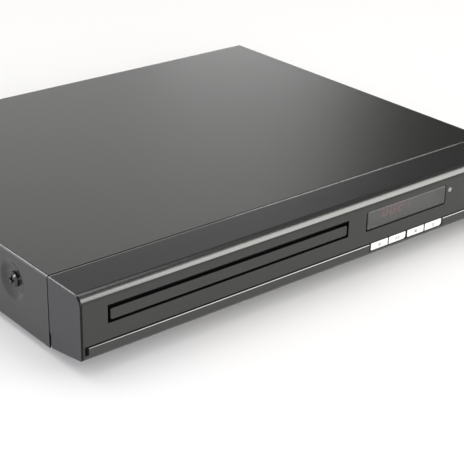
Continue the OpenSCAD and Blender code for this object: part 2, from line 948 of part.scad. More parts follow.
module loader_frame() {
  ear_r = 5.5;
  boss_low = 12;
  boss_half = 6;
  lip_w = ledge_w - 0.6;
  seat_w = 1;
  color([0.11, 0.11, 0.12])
    at_loader()
      difference() {
        union() {
          for (side = [-1, 1])
            mirror([side < 0 ? 1 : 0, 0, 0]) {
              // Side wall, ledge below the tray and lip above it
              block(rail_x, loader_y, rail_z);
              block([rail_in - ledge_w, rail_in], loader_y,
                [tray_z[0] - slide_gap - ledge_t, tray_z[0] - slide_gap]);
              block([rail_in - lip_w, rail_in], loader_y, [tray_z[1] + slide_gap, rail_z[1]]);
              // Seats of the bridge
              block([rail_in - seat_w, rail_x[1]], bridge_y, [rail_z[1], bridge_z[0]]);
              // Deck beside the well
              block([well_x, rail_in], [side_deck_y, loader_y[1]], deck_z);
              // Hinge bosses
              block(hinge_boss_x, [hinge_y - boss_half, hinge_y + boss_half], [boss_low, deck_z[0]]);
              // Ears
              for (y = loader_ear_ys)
                along_z(ear_z)
                  translate([loader_ear_x, y]) {
                    circle(ear_r);
                    translate([rail_x[0] - loader_ear_x, -ear_r])
                      square([loader_ear_x - rail_x[0], 2 * ear_r]);
                  }
            }
          block([-rail_in, rail_in], front_deck_y, deck_z);
          block([-well_x, well_x], [well_y[1], loader_y[1]], deck_z);
          for (x = [tray_gear_x, pulley_x])
            bar_z(x, gear_y, [deck_z[1], hub_z], post_r + 1);
          bar_z(tray_gear_x, gear_y, [deck_z[1], gear_z[1]], post_r);
          bar_z(pulley_x, gear_y, [deck_z[1], pinion_top + 0.2], post_r);
        }
        // Hinge bores
        bar_x([-hinge_boss_x[1] - through, hinge_boss_x[1] + through], hinge_y, hinge_z,
          hinge_pin_r + run_gap);
        // Ear holes
        for (side = [-1, 1], y = loader_ear_ys)
          bar_z(side * loader_ear_x, y, [ear_z[0] - through, ear_z[1] + through], screw_hole_r);
        // Motor boss
        bar_z(motor_x, gear_y, [deck_z[0] - through, deck_z[1] + through], motor_boss_r + 2 * run_gap);
      }
}

module clamp_bridge() {
  half = rail_x[1];
  rib_w = bridge_z[1] - bridge_z[0];
  rib_h = 2;
  ribs = [[bridge_y[0], bridge_y[0] + rib_w], [bridge_y[1] - rib_w, bridge_y[1]]];
  color([0.70, 0.71, 0.72])
    at_loader()
      difference() {
        union() {
          block([-half, half], bridge_y, bridge_z);
          for (y = ribs)
            block([-half, half], y, [bridge_z[1], bridge_z[1] + rib_h]);
        }
        bar_z(0, disc_y, [bridge_z[0] - through, bridge_z[1] + through], clamp_hole_r);
      }
}

turntable_z = [27.9, 30.1];
puck_z = [turntable_z[1] + disc_t, bridge_z[1] + 0.2];
puck_flange_z = [bridge_z[1] + 0.3, bridge_z[1] + 1.6];
magnet_r = 9;
magnet_z = [puck_z[0] + 1.4, puck_flange_z[1]];

module clamp_puck() {
  puck_r = clamp_hole_r - 1;
  flange_r = clamp_hole_r + 1.8;
  recess_r = 8.2;
  recess_h = 1;
  color([0.85, 0.85, 0.83])
    at_loader()
      difference() {
        union() {
          bar_z(0, disc_y, [puck_z[0], puck_flange_z[0]], puck_r);
          bar_z(0, disc_y, puck_flange_z, flange_r);
        }
        bar_z(0, disc_y, [magnet_z[0], magnet_z[1] + through], magnet_r);
        bar_z(0, disc_y, [puck_z[0] - through, puck_z[0] + recess_h], recess_r);
      }
}

module clamp_magnet() {
  hole_r = 5;
  color([0.35, 0.35, 0.37])
    at_loader()
      difference() {
        bar_z(0, disc_y, magnet_z, magnet_r);
        bar_z(0, disc_y, [magnet_z[0] - through, magnet_z[1] + through], hole_r);
      }
}

// ---------------------------------------------------------------- loading drive

motor_can_r = 12.2;
motor_can_z = [floor_z[1] + 0.5, deck_z[0]];
belt_t = 1.2;
small_groove_r = 3.2;
big_groove_r = 11.2;
pulley_flange = 1.2;
belt_gap = 0.3;
groove_inset = 0.4;

module loading_motor() {
  color([0.62, 0.63, 0.65])
    at_loader()
      difference() {
        union() {
          bar_z(motor_x, gear_y, motor_can_z, motor_can_r);
          bar_z(motor_x, gear_y, [motor_can_z[1], motor_can_z[1] + motor_boss_h], motor_boss_r);
        }
        bar_z(motor_x, gear_y, [motor_can_z[1] - motor_shaft_l - 1, motor_can_z[1] + motor_boss_h + through],
          motor_shaft_r + run_gap);
      }
}

// Pulley with a belt groove, around the origin of the loader's plan
module pulley(x, groove_r) {
  bar_z(x, gear_y, [pulley_z[0], pulley_z[0] + groove_inset], groove_r + pulley_flange);
  bar_z(x, gear_y, pulley_z, groove_r);
  bar_z(x, gear_y, [pulley_z[1] - groove_inset, pulley_z[1]], groove_r + pulley_flange);
}

module motor_pulley() {
  color([0.88, 0.87, 0.82])
    at_loader() {
      pulley(motor_x, small_groove_r);
      bar_z(motor_x, gear_y, [motor_can_z[1] - motor_shaft_l, pulley_z[0]], motor_shaft_r);
    }
}

// Outline of a band around two circles, the first at the origin and the second further along x
function arc_points(r, from, to, steps) =
  [for (i = [0 : steps]) let (angle = from + (to - from) * i / steps) r * [cos(angle), sin(angle)]];

function wrapped_points(r1, r2, distance) =
  let (
    lean = acos((r1 - r2) / distance),
    steps = 18
  )
  concat(
    [for (p = arc_points(r2, -lean, lean, steps)) p + [distance, 0]],
    arc_points(r1, lean, 360 - lean, steps)
  );

module drive_belt() {
  span = pulley_x - motor_x;
  small = small_groove_r + belt_gap;
  big = big_groove_r + belt_gap;
  color([0.06, 0.06, 0.06])
    at_loader()
      along_z([pulley_z[0] + groove_inset + belt_gap, pulley_z[1] - groove_inset - belt_gap])
        translate([motor_x, gear_y])
          difference() {
            polygon(wrapped_points(small + belt_t, big + belt_t, span));
            polygon(wrapped_points(small, big, span));
          }
}

module pulley_gear() {
  pinion_z = [pulley_z[1], pinion_top];
  half_tooth = 180 / pinion_teeth;
  color([0.90, 0.89, 0.84])
    at_loader()
      difference() {
        union() {
          pulley(pulley_x, big_groove_r);
          along_z(pinion_z)
            translate([pulley_x, gear_y])
              rotate(half_tooth)
                polygon(gear_points(pinion_teeth, gear_module));
        }
        bar_z(pulley_x, gear_y, [pulley_z[0] - through, pinion_z[1] + through], gear_bore_r);
      }
}

module tray_gear() {
  hub_r = 2.9;
  color([0.92, 0.91, 0.86])
    at_loader()
      difference() {
        union() {
          along_z(gear_z)
            translate([tray_gear_x, gear_y])
              polygon(gear_points(tray_teeth, gear_module));
          bar_z(tray_gear_x, gear_y, [pulley_z[0], gear_z[0]], hub_r);
        }
        bar_z(tray_gear_x, gear_y, [pulley_z[0] - through, gear_z[1] + through], gear_bore_r);
      }
}

// Slider whose slanted slot raises and lowers the lift frame
lift_angle = 3.9;
cam_pin_r = 1.5;
cam_pin_x = -40;
cam_pin_z = 17.9;
cam_travel = 16;
cam_y = [57.2, 58.8];
cam_slack = 0.35;
cam_drop = (hinge_y - (cam_y[0] + cam_y[1]) / 2) * sin(lift_angle);

module cam_slider() {
  slot_r = cam_pin_r + cam_slack;
  margin = 1.2;
  x = [cam_pin_x - cam_travel, cam_pin_x + cam_travel + 6];
  z = [cam_pin_z - cam_drop - slot_r - margin, deck_z[1] + margin];
  shelf_w = 7;
  shelf_t = 1;
  slope = atan(cam_drop / cam_travel);
  slot_l = norm([cam_drop, cam_travel]);
  color([0.88, 0.87, 0.82])
    at_loader()
      difference() {
        union() {
          block(x, cam_y, z);
          block(x, [cam_y[0] - shelf_w, cam_y[1]], [z[1] - shelf_t, z[1]]);
        }
        bar_y(cam_pin_x, [cam_y[0] - through, cam_y[1] + through], cam_pin_z, slot_r);
        bar_y(cam_pin_x + cam_travel, [cam_y[0] - through, cam_y[1] + through],
          cam_pin_z - cam_drop, slot_r);
        along_y([cam_y[0] - through, cam_y[1] + through])
          translate([cam_pin_x, cam_pin_z])
            rotate(-slope)
              translate([0, -slot_r])
                square([slot_l, 2 * slot_r]);
      }
}

// ---------------------------------------------------------------- traverse

lift_x = [43, 50];
lift_y = [60.5, 183];
lift_z = [15, 18];
lift_hole_y = [68, 166];
damper_spots = [[-46.5, 64.5], [46.5, 64.5], [-46.5, 168], [46.5, 168]];
mech_z = [19.2, 20.4];
damper_r = 3.2;
damper_neck_r = 2.2;
damper_hole_r = 1.5;
damper_cap = 1;
damper_pin_r = 1.3;

module lift_frame() {
  lug_half = 3;
  lug_t = 1.3;
  lug_top = cam_pin_z + 2;
  pin_end = 1;
  color([0.13, 0.13, 0.14])
    at_loader()
      difference() {
        union() {
          difference() {
            block([-lift_x[1], lift_x[1]], lift_y, lift_z);
            block([-lift_x[0], lift_x[0]], lift_hole_y, [lift_z[0] - through, lift_z[1] + through]);
          }
          bar_x([-hinge_boss_x[1] + 1, hinge_boss_x[1] - 1], hinge_y, hinge_z, hinge_pin_r);
          block([cam_pin_x - lug_half, cam_pin_x + lug_half], [lift_y[0], lift_y[0] + lug_t],
            [lift_z[0], lug_top]);
          bar_y(cam_pin_x, [cam_y[0] - 2 * run_gap, lift_y[0] + pin_end], cam_pin_z, cam_pin_r);
        }
        for (spot = damper_spots)
          bar_z(spot[0], spot[1], [lift_z[0] - through, lift_z[1] + through], damper_pin_r);
      }
}

module dampers() {
  color([0.20, 0.08, 0.08])
    at_loader()
      for (spot = damper_spots)
        difference() {
          union() {
            bar_z(spot[0], spot[1], [lift_z[1], mech_z[0]], damper_r);
            bar_z(spot[0], spot[1], [mech_z[0], mech_z[1]], damper_neck_r);
            bar_z(spot[0], spot[1], [mech_z[1], mech_z[1] + damper_cap], damper_r);
          }
          bar_z(spot[0], spot[1], [lift_z[0], mech_z[1] + damper_cap + through], damper_hole_r);
        }
}

module damper_screws() {
  head_r = 2.6;
  head_h = 1.2;
  length = mech_z[1] + damper_cap - lift_z[0];
  color([0.72, 0.72, 0.72])
    at_loader()
      for (spot = damper_spots)
        translate([spot[0], case_y(spot[1]), mech_z[1] + damper_cap])
          pan_screw(head_r, head_h, damper_pin_r, length);
}

// Rods, pickup and their feed drive
rod_x = 20;
rod_r = 1.5;
rod_z = 22.9;
rod_y = [93, 163];
pickup_x = [-25, 24];
pickup_y = [95, 127];
pickup_z = [16, 25];
lens_y = pickup_y[0] + 10;
nose_z = 27.6;
lens_holder_r = 4.2;
lens_seat = 2.2;
lens_gap = 0.2;
bay_half = 28;
mech_bay_y = [93.6, 162.4];
spindle_motor_r = 12.5;
spindle_base_r = 14;
spindle_boss_r = 9.3;
feed_m = 0.6;
feed_small_teeth = 16;
feed_big_teeth = 30;
feed_pinion_teeth = 12;
feed_small_r = feed_m * feed_small_teeth / 2;
feed_big_r = feed_m * feed_big_teeth / 2;
feed_pinion_r = feed_m * feed_pinion_teeth / 2;
feed_rack_x = 29;
feed_x = feed_rack_x + feed_small_r;
feed_y = 121;
feed_motor_y = feed_y - feed_big_r - feed_pinion_r;
feed_big_z = [mech_z[1] + 0.3, mech_z[1] + 1.5];
feed_small_z = [feed_big_z[1], feed_big_z[1] + 2.4];
feed_motor_r = 7;
feed_post_r = 1.2;
feed_motor_h = 7.5;

module mech_deck() {
  x = 50;
  waist = 44;
  waist_y = [74, 158];
  deck_y = [62, 171];
  boss_gap = 0.2;
  color([0.66, 0.67, 0.68])
    at_loader()
      difference() {
        union() {
          block([-x, x], deck_y, mech_z);
          bar_z(feed_x, feed_y, [mech_z[1] - run_gap, feed_small_z[1]], feed_post_r);
        }
        block([-bay_half, pickup_x[1] + 2], mech_bay_y, [mech_z[0] - through, mech_z[1] + through]);
        bar_z(0, disc_y, [mech_z[0] - through, mech_z[1] + through], spindle_boss_r + boss_gap);
        for (spot = damper_spots)
          bar_z(spot[0], spot[1], [mech_z[0] - through, mech_z[1] + through], damper_neck_r);
        bar_z(feed_x, feed_motor_y, [mech_z[0] - through, mech_z[1] + through], feed_boss_r + boss_gap);
        for (side = [-1, 1])
          block(side < 0 ? [-x - through, -waist] : [waist, x + through], waist_y,
            [mech_z[0] - through, mech_z[1] + through]);
      }
}

spindle_shaft_r = 1;
turntable_r = 15;
hub_r = 7.4;
hub_h = 1.7;

module spindle_motor() {
  base_z = [mech_z[1], mech_z[1] + 1];
  can_z = [base_z[1], turntable_z[0] - 0.9];
  boss_h = 3;
  color([0.74, 0.75, 0.76])
    at_loader()
      difference() {
        union() {
          bar_z(0, disc_y, base_z, spindle_base_r);
          bar_z(0, disc_y, can_z, spindle_motor_r);
          bar_z(0, disc_y, [mech_z[0] - boss_h, base_z[0]], spindle_boss_r);
        }
        bar_z(0, disc_y, [mech_z[0] - 1, can_z[1] + through], spindle_shaft_r + run_gap);
      }
}

module spindle_shaft() {
  color([0.80, 0.80, 0.80])
    at_loader()
      bar_z(0, disc_y, [mech_z[0], turntable_z[1] + hub_h], spindle_shaft_r);
}

pad_out = turntable_r - 0.6;
pad_in = pad_out - 3.4;
pad_deep = 0.5;

module turntable() {
  ring_h = 0.9;
  tip_r = hub_r - 1.2;
  color([0.16, 0.16, 0.17])
    at_loader()
      difference() {
        union() {
          bar_z(0, disc_y, turntable_z, turntable_r);
          bar_z(0, disc_y, [turntable_z[1], turntable_z[1] + ring_h], hub_r);
          translate([0, case_y(disc_y), turntable_z[1] + ring_h])
            cylinder(h = hub_h - ring_h, r1 = hub_r, r2 = tip_r);
        }
        bar_z(0, disc_y, [turntable_z[0] - through, turntable_z[1] + hub_h + through], spindle_shaft_r);
        difference() {
          bar_z(0, disc_y, [turntable_z[1] - pad_deep, turntable_z[1] + through], pad_out);
          bar_z(0, disc_y, [turntable_z[0], turntable_z[1] + 2 * through], pad_in);
        }
      }
}

module turntable_pad() {
  color([0.09, 0.09, 0.09])
    at_loader()
      difference() {
        bar_z(0, disc_y, [turntable_z[1] - pad_deep, turntable_z[1]], pad_out);
        bar_z(0, disc_y, [turntable_z[1] - through, turntable_z[1] + through], pad_in);
      }
}

module guide_rods() {
  color([0.82, 0.82, 0.83])
    at_loader()
      for (side = [-1, 1])
        bar_y(side * rod_x, rod_y, rod_z, rod_r);
}

module rod_holders() {
  w = 6;
  grip = 0.4;
  d = 2.4;
  top = rod_z + rod_r + 0.6;
  ends = [[rod_y[0] + grip - d, rod_y[0] + grip], [rod_y[1] - grip, rod_y[1] - grip + d]];
  color([0.14, 0.14, 0.15])
    at_loader()
      difference() {
        for (side = [-1, 1], y = ends)
          block([side * rod_x - w / 2, side * rod_x + w / 2], y, [mech_z[1], top]);
        for (side = [-1, 1])
          bar_y(side * rod_x, rod_y, rod_z, rod_r);
      }
}

module pickup_body() {
  nose_x = 12;
  nose_y = [lens_y - 8, lens_y + 8];
  rack_z = [feed_small_z[0] + 0.3, feed_small_z[1]];
  rack_teeth_ahead = -20;
  rack_teeth_behind = 2;
  rack_back = feed_rack_x - pickup_x[1] - feed_m * dedendum + 0.2;
  color([0.62, 0.62, 0.63])
    at_loader()
      difference() {
        union() {
          block(pickup_x, pickup_y, pickup_z);
          block([-nose_x, nose_x], nose_y, [pickup_z[1] - run_gap, nose_z]);
          // Rack along the right side
          along_z(rack_z)
            translate([feed_rack_x, feed_y])
              mirror([1, 0, 0])
                rack_teeth(feed_m, rack_teeth_ahead, rack_teeth_behind, rack_back);
        }
        for (side = [-1, 1])
          bar_y(side * rod_x, [pickup_y[0] - through, pickup_y[1] + through], rod_z, rod_r + run_gap);
        bar_z(0, lens_y, [nose_z - lens_seat, nose_z + through], lens_holder_r + lens_gap);
      }
}

module pickup_lens() {
  rim = 0.7;
  lens_h = 0.4;
  lens_r = 2.2;
  color([0.45, 0.50, 0.72])
    at_loader() {
      bar_z(0, lens_y, [nose_z - lens_seat, nose_z + rim], lens_holder_r);
      bar_z(0, lens_y, [nose_z + rim, nose_z + rim + lens_h], lens_r);
    }
}

feed_shaft_r = 0.75;
feed_boss_r = 2.4;
feed_boss_h = 0.8;
feed_shaft_l = 5;

module sled_motor() {
  z = [mech_z[0] - feed_motor_h, mech_z[0]];
  color([0.66, 0.67, 0.69])
    at_loader()
      difference() {
        union() {
          bar_z(feed_x, feed_motor_y, z, feed_motor_r);
          bar_z(feed_x, feed_motor_y, [z[1], z[1] + feed_boss_h], feed_boss_r);
        }
        bar_z(feed_x, feed_motor_y, [z[1] - feed_shaft_l - 1, z[1] + feed_boss_h + through],
          feed_shaft_r + run_gap);
      }
}

module feed_pinion() {
  color([0.85, 0.70, 0.35])
    at_loader() {
      along_z(feed_big_z)
        translate([feed_x, feed_motor_y])
          polygon(gear_points(feed_pinion_teeth, feed_m));
      bar_z(feed_x, feed_motor_y, [mech_z[0] - feed_shaft_l, feed_big_z[0]], feed_shaft_r);
    }
}

module feed_gear() {
  color([0.90, 0.89, 0.84])
    at_loader()
      difference() {
        union() {
          along_z(feed_big_z)
            translate([feed_x, feed_y])
              polygon(gear_points(feed_big_teeth, feed_m));
          along_z(feed_small_z)
            translate([feed_x, feed_y])
              polygon(gear_points(feed_small_teeth, feed_m));
        }
        bar_z(feed_x, feed_y, [feed_big_z[0] - through, feed_small_z[1] + through], feed_post_r + run_gap);
      }
}

// ---------------------------------------------------------------- boards

module board(x, y) {
  difference() {
    block(x, y, [board_z, board_z + board_t]);
    for (spot = corners(x, y))
      bar_z(spot[0], spot[1], [board_z - through, board_z + board_t + through], screw_hole_r);
  }
}

board_top = board_z + board_t;

module main_board() {
  color([0.10, 0.30, 0.16])
    board(main_board_x, main_board_y);
}

module power_board() {
  color([0.55, 0.42, 0.20])
    board(power_board_x, power_board_y);
}

module board_chips() {
  chip_h = 1.6;
  // Corner in plan and size of each chip
  chips = [[[50, 160], [20, 20]], [[78, 162], [10, 16]], [[36, 172], [8, 6]], [[46, 198], [8, 10]]];
  color([0.08, 0.08, 0.09])
    for (chip = chips) {
      at = chip[0];
      size = chip[1];
      block([at[0], at[0] + size[0]], [at[1], at[1] + size[1]], [board_top, board_top + chip_h]);
    }
}

module hdmi_socket() {
  shell = 0.5;
  y = [body_d - 13, body_d - 0.5];
  back_wall = 3;
  tongue_h = 1.4;
  tongue_side = 2;
  tongue_inset = 1.5;
  x = [hdmi_x - hdmi_w / 2, hdmi_x + hdmi_w / 2];
  color([0.75, 0.75, 0.76])
    union() {
      difference() {
        block(x, y, [board_top, board_top + hdmi_h]);
        block([x[0] + shell, x[1] - shell], [y[0] + back_wall, y[1] + through],
          [board_top + shell, board_top + hdmi_h - shell]);
      }
      block([x[0] + tongue_side, x[1] - tongue_side], [y[0] + back_wall - run_gap, y[1] - tongue_inset],
        [board_top + hdmi_h / 2, board_top + hdmi_h / 2 + tongue_h]);
    }
}

housing_y = [body_d - 14, panel_y[0]];
sleeve_y = housing_y[0] + 3;
socket_core_r = 1.6;
sleeve_in_r = phono_r - 0.5;
sleeve_back_r = phono_r - 0.2;

module rca_housing() {
  edge = 6.8;
  color([0.09, 0.09, 0.09])
    difference() {
      block([phono_xs[0] - edge, phono_xs[3] + edge], housing_y, [board_top, phono_z + edge]);
      for (x = phono_xs)
        bar_y(x, [sleeve_y, housing_y[1] + through], phono_z, sleeve_back_r);
    }
}

module rca_sleeves() {
  color([0.80, 0.79, 0.75])
    for (x = phono_xs)
      difference() {
        union() {
          bar_y(x, [sleeve_y, panel_y[1] + run_gap], phono_z, sleeve_back_r);
          bar_y(x, [panel_y[1], body_d + phono_reach], phono_z, phono_r);
        }
        bar_y(x, [sleeve_y - through, body_d + phono_reach + through], phono_z, sleeve_in_r);
      }
}

module rca_inserts() {
  inset = 0.6;
  core_y = sleeve_y + 3;
  color([0.85, 0.80, 0.20])
    for (x = phono_xs)
      difference() {
        bar_y(x, [sleeve_y, body_d + phono_reach - inset], phono_z, sleeve_in_r);
        bar_y(x, [core_y, body_d + phono_reach], phono_z, socket_core_r);
      }
}

module transformer() {
  x = [108, 134];
  y = [160, 184];
  core_h = 17;
  coil = 3;
  coil_h = 14;
  color([0.82, 0.70, 0.20]) {
    block(x, y, [board_top, board_top + core_h]);
    block([x[0] + coil, x[1] - coil], [y[0] - coil, y[1] + coil], [board_top, board_top + coil_h]);
  }
}

module capacitors() {
  // Place in plan, radius and height of each can
  cans = [
    [124, 199, 7, 20], [112, 145, 4.5, 15], [123, 145, 4.5, 15], [134, 145, 4.5, 15],
    [44, 142, 4, 11], [56, 142, 4, 11]
  ];
  color([0.12, 0.14, 0.25])
    for (can = cans)
      bar_z(can[0], can[1], [board_top, board_top + can[3]], can[2]);
}

module heat_sink() {
  fin = 1.2;
  fin_pitch = 4;
  fins = 6;
  back = 1.6;
  x = 108;
  y = [120, 130];
  z = [board_top, board_top + 20];
  color([0.55, 0.56, 0.57]) {
    block([x, x + fin_pitch * (fins - 1) + fin], [y[0], y[0] + back], z);
    for (i = [0 : fins - 1])
      block([x + i * fin_pitch, x + i * fin_pitch + fin], [y[0], y[1]], z);
  }
}

// Two-pin mains inlet: a figure of eight that opens at the back
pin_pitch = 8.6;
pin_r = 1.2;
inlet_y = [body_d - 19, body_d - 0.4];
inlet_deep = 12;

module mains_inlet() {
  lobe_r = 4;
  pin_root = 2;
  pin_inset = 2;
  foot_half = 8;
  foot_l = 6;
  color([0.06, 0.06, 0.06]) {
    difference() {
      along_y(inlet_y)
        translate([inlet_x, inlet_z])
          rounded(inlet_w, inlet_h, inlet_corner);
      along_y([inlet_y[1] - inlet_deep, inlet_y[1] + through])
        translate([inlet_x, inlet_z]) {
          square([pin_pitch, 2 * lobe_r], center = true);
          for (side = [-1, 1])
            translate([side * pin_pitch / 2, 0])
              circle(lobe_r);
        }
    }
    for (side = [-1, 1])
      bar_y(inlet_x + side * pin_pitch / 2, [inlet_y[1] - inlet_deep - pin_root, inlet_y[1] - pin_inset],
        inlet_z, pin_r);
    block([inlet_x - foot_half, inlet_x + foot_half], [inlet_y[0], inlet_y[0] + foot_l],
      [board_top, inlet_z - inlet_h / 2 + run_gap]);
  }
}

module machine_screws() {
  color([0.75, 0.75, 0.75]) {
    for (spot = board_screw_spots)
      translate([spot[0], case_y(spot[1]), board_top])
        small_screw();
    for (spot = loader_ear_spots)
      translate([spot[0], case_y(spot[1]), ear_z[1]])
        small_screw();
    for (spot = front_bosses)
      translate([spot[0], case_y(front_board_y[1]), spot[1]])
        rotate([-90, 0, 0])
          small_screw();
  }
}

// ---------------------------------------------------------------- drawing

top_cover();
bottom_chassis();
rear_panel();
front_fascia();
chin_strip();
display_window();
power_led();
eject_button();
play_button();
stop_button();
standby_button();
tray_door();
disc_tray();
loader_frame();
clamp_bridge();
clamp_puck();
clamp_magnet();
lift_frame();
cam_slider();
dampers();
damper_screws();
mech_deck();
spindle_motor();
spindle_shaft();
turntable();
turntable_pad();
guide_rods();
rod_holders();
pickup_body();
pickup_lens();
sled_motor();
feed_pinion();
feed_gear();
loading_motor();
motor_pulley();
drive_belt();
pulley_gear();
tray_gear();
front_board();
display_module();
lit_segments();
front_ribbon();
ir_receiver();
tact_switches();
main_board();
board_chips();
hdmi_socket();
rca_housing();
rca_sleeves();
rca_inserts();
power_board();
transformer();
capacitors();
heat_sink();
mains_inlet();
feet();
cover_side_screws();
rear_screws();
machine_screws();
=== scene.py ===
"""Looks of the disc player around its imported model.

It gives each node a material, rounds the edges, adds the symbols on the buttons, and sets up the light,
the floor and the camera. Named sizes are in millimetres, unless their comment says metres. What the frame
gives, the lamps and the floor are in metres.
"""

import json
import math

import bmesh
import bpy
from mathutils import Matrix, Vector

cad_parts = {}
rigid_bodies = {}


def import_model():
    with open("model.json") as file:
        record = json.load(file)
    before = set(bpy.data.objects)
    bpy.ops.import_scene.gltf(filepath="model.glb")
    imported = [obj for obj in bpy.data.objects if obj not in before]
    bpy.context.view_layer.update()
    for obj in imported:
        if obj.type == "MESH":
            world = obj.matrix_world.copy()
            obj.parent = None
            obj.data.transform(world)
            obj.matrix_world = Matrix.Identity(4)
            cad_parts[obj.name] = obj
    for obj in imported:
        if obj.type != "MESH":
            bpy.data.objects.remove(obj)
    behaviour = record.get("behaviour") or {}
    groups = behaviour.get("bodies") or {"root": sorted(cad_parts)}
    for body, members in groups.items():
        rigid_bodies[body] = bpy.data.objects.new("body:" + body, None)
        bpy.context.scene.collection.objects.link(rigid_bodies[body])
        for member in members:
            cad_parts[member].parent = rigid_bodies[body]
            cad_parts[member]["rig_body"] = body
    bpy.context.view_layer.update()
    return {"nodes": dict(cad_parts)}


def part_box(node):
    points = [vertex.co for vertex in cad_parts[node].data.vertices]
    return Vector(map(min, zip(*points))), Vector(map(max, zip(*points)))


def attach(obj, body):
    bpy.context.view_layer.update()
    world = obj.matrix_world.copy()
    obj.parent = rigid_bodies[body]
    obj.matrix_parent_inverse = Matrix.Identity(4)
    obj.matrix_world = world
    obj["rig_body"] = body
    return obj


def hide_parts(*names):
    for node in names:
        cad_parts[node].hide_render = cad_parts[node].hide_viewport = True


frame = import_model()
nodes = frame["nodes"]
MM = 0.001

# ---------------------------------------------------------------- measures

# The front: where its face and its top are, in metres
Y_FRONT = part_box("front_fascia")[0].y
Z_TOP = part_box("front_fascia")[1].z
# Half its width, its depth and the radius of its top edge
HALF_WIDTH = 150
FASCIA_DEPTH = 27
FRONT_R = 5.5
# How closely the tests look for a certain face, edge or corner
NEAR = 0.05
ABOUT = 0.1
# How far from the top, or from the ends, something may lie and still belong there
TOP_REACH = 1.2
SIDE_REACH = 1
# The front's ends: what still counts as the flat end itself, the rounding beside it, where that goes over
# from front to top, and where the notch begins
END_FLAT = 0.03
END_ROUND = 0.9
END_TURN = 3.2
NOTCH_START = 24.5
# Lowest corner of the notch: behind the face and above the ground, how near the ends, and how it moves
NOTCH = (25.6, 4.8)
NOTCH_REACH = 4
NOTCH_MOVE = (0.3, 0.7)
# Glossier part of the rounding along the front's top edge, in degrees from the top
BAND_TURN = (15, 68)
# Inner walls of the front: where they start, half their width and their heights
INNER_START = 0.4
INNER_HALF = 147.6
INNER_Z = (7.5, 36)
# Half the width of the front's lip and hooks, which reach into the case
HOOK_HALF = 148.5
# Sloping last strip of the front's top: its length and its fall, and how far down its faces may lie
LIP = (0.8, 0.15)
LIP_BELOW = 0.4
# How much the seam at the sides narrows, and the height above which it does
SIDE_SEAM = 0.3
SIDE_SEAM_Z = 20
# Reach of the folds along the cover's top, and how far behind the front its cut edge may lie
FOLD = 0.95
CUT_REACH = 0.6
# Dimples for the side screws: radius of the rim, radius of the floor, depth, rings of faces on the slope
DIMPLE = (11.0, 6.2, 2.1)
DIMPLE_RINGS = 10
# Strip along the bottom: its box in metres, the rounding of its top edge, how far that edge is lowered,
# and the height of what is lowered with it
STRIP_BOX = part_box("chin_strip")
STRIP_ROUND = 0.4
STRIP_DROP = 0.35
STRIP_EDGE = 0.85
# Window: its box, the flange behind the front, the rounding of its edge, the border of painted gap shade
# inside that, and how far inwards the two reach together
WINDOW_BOX = [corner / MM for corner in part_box("display_window")]
WINDOW_FLANGE = 1.8
WINDOW_ROUND = 0.35
BORDER = 0.3
BORDER_REACH = BORDER + WINDOW_ROUND
# How far back the sides of the door and of the buttons keep their own look, before the painted gap shade
DOOR_SIDE = 0.35
BUTTON_SIDE = 0.42
# Symbols: how far they lie behind the face and how thick they are
SYMBOL_Y = 0.09
SYMBOL_DEPTH = 0.08
BUTTONS = ("eject_button", "play_button", "stop_button", "standby_button")


# ---------------------------------------------------------------- camera

CAMERA_RIGHT = (0.7713, -0.6361, 0.0201)
CAMERA_AHEAD = (0.5825, 0.6929, -0.4250)
CAMERA_PLACE = (-427.03, -560.87, 315.04)
CAMERA_LENS = 101.6


def make_camera():
    """The photograph's camera, worked out from the vanishing points of the case's edges."""
    right = Vector(CAMERA_RIGHT).normalized()
    ahead = Vector(CAMERA_AHEAD).normalized()
    up = right.cross(ahead).normalized()
    right = ahead.cross(up)
    data = bpy.data.cameras.new("camera")
    data.sensor_width = 36
    data.lens = CAMERA_LENS
    data.clip_start = 0.01
    data.clip_end = 50
    camera = bpy.data.objects.new("camera", data)
    turn = Matrix((right, up, -ahead)).transposed().to_4x4()
    camera.matrix_world = Matrix.Translation(Vector(CAMERA_PLACE) * MM) @ turn
    bpy.context.scene.collection.objects.link(camera)
    bpy.context.scene.camera = camera


# ---------------------------------------------------------------- materials

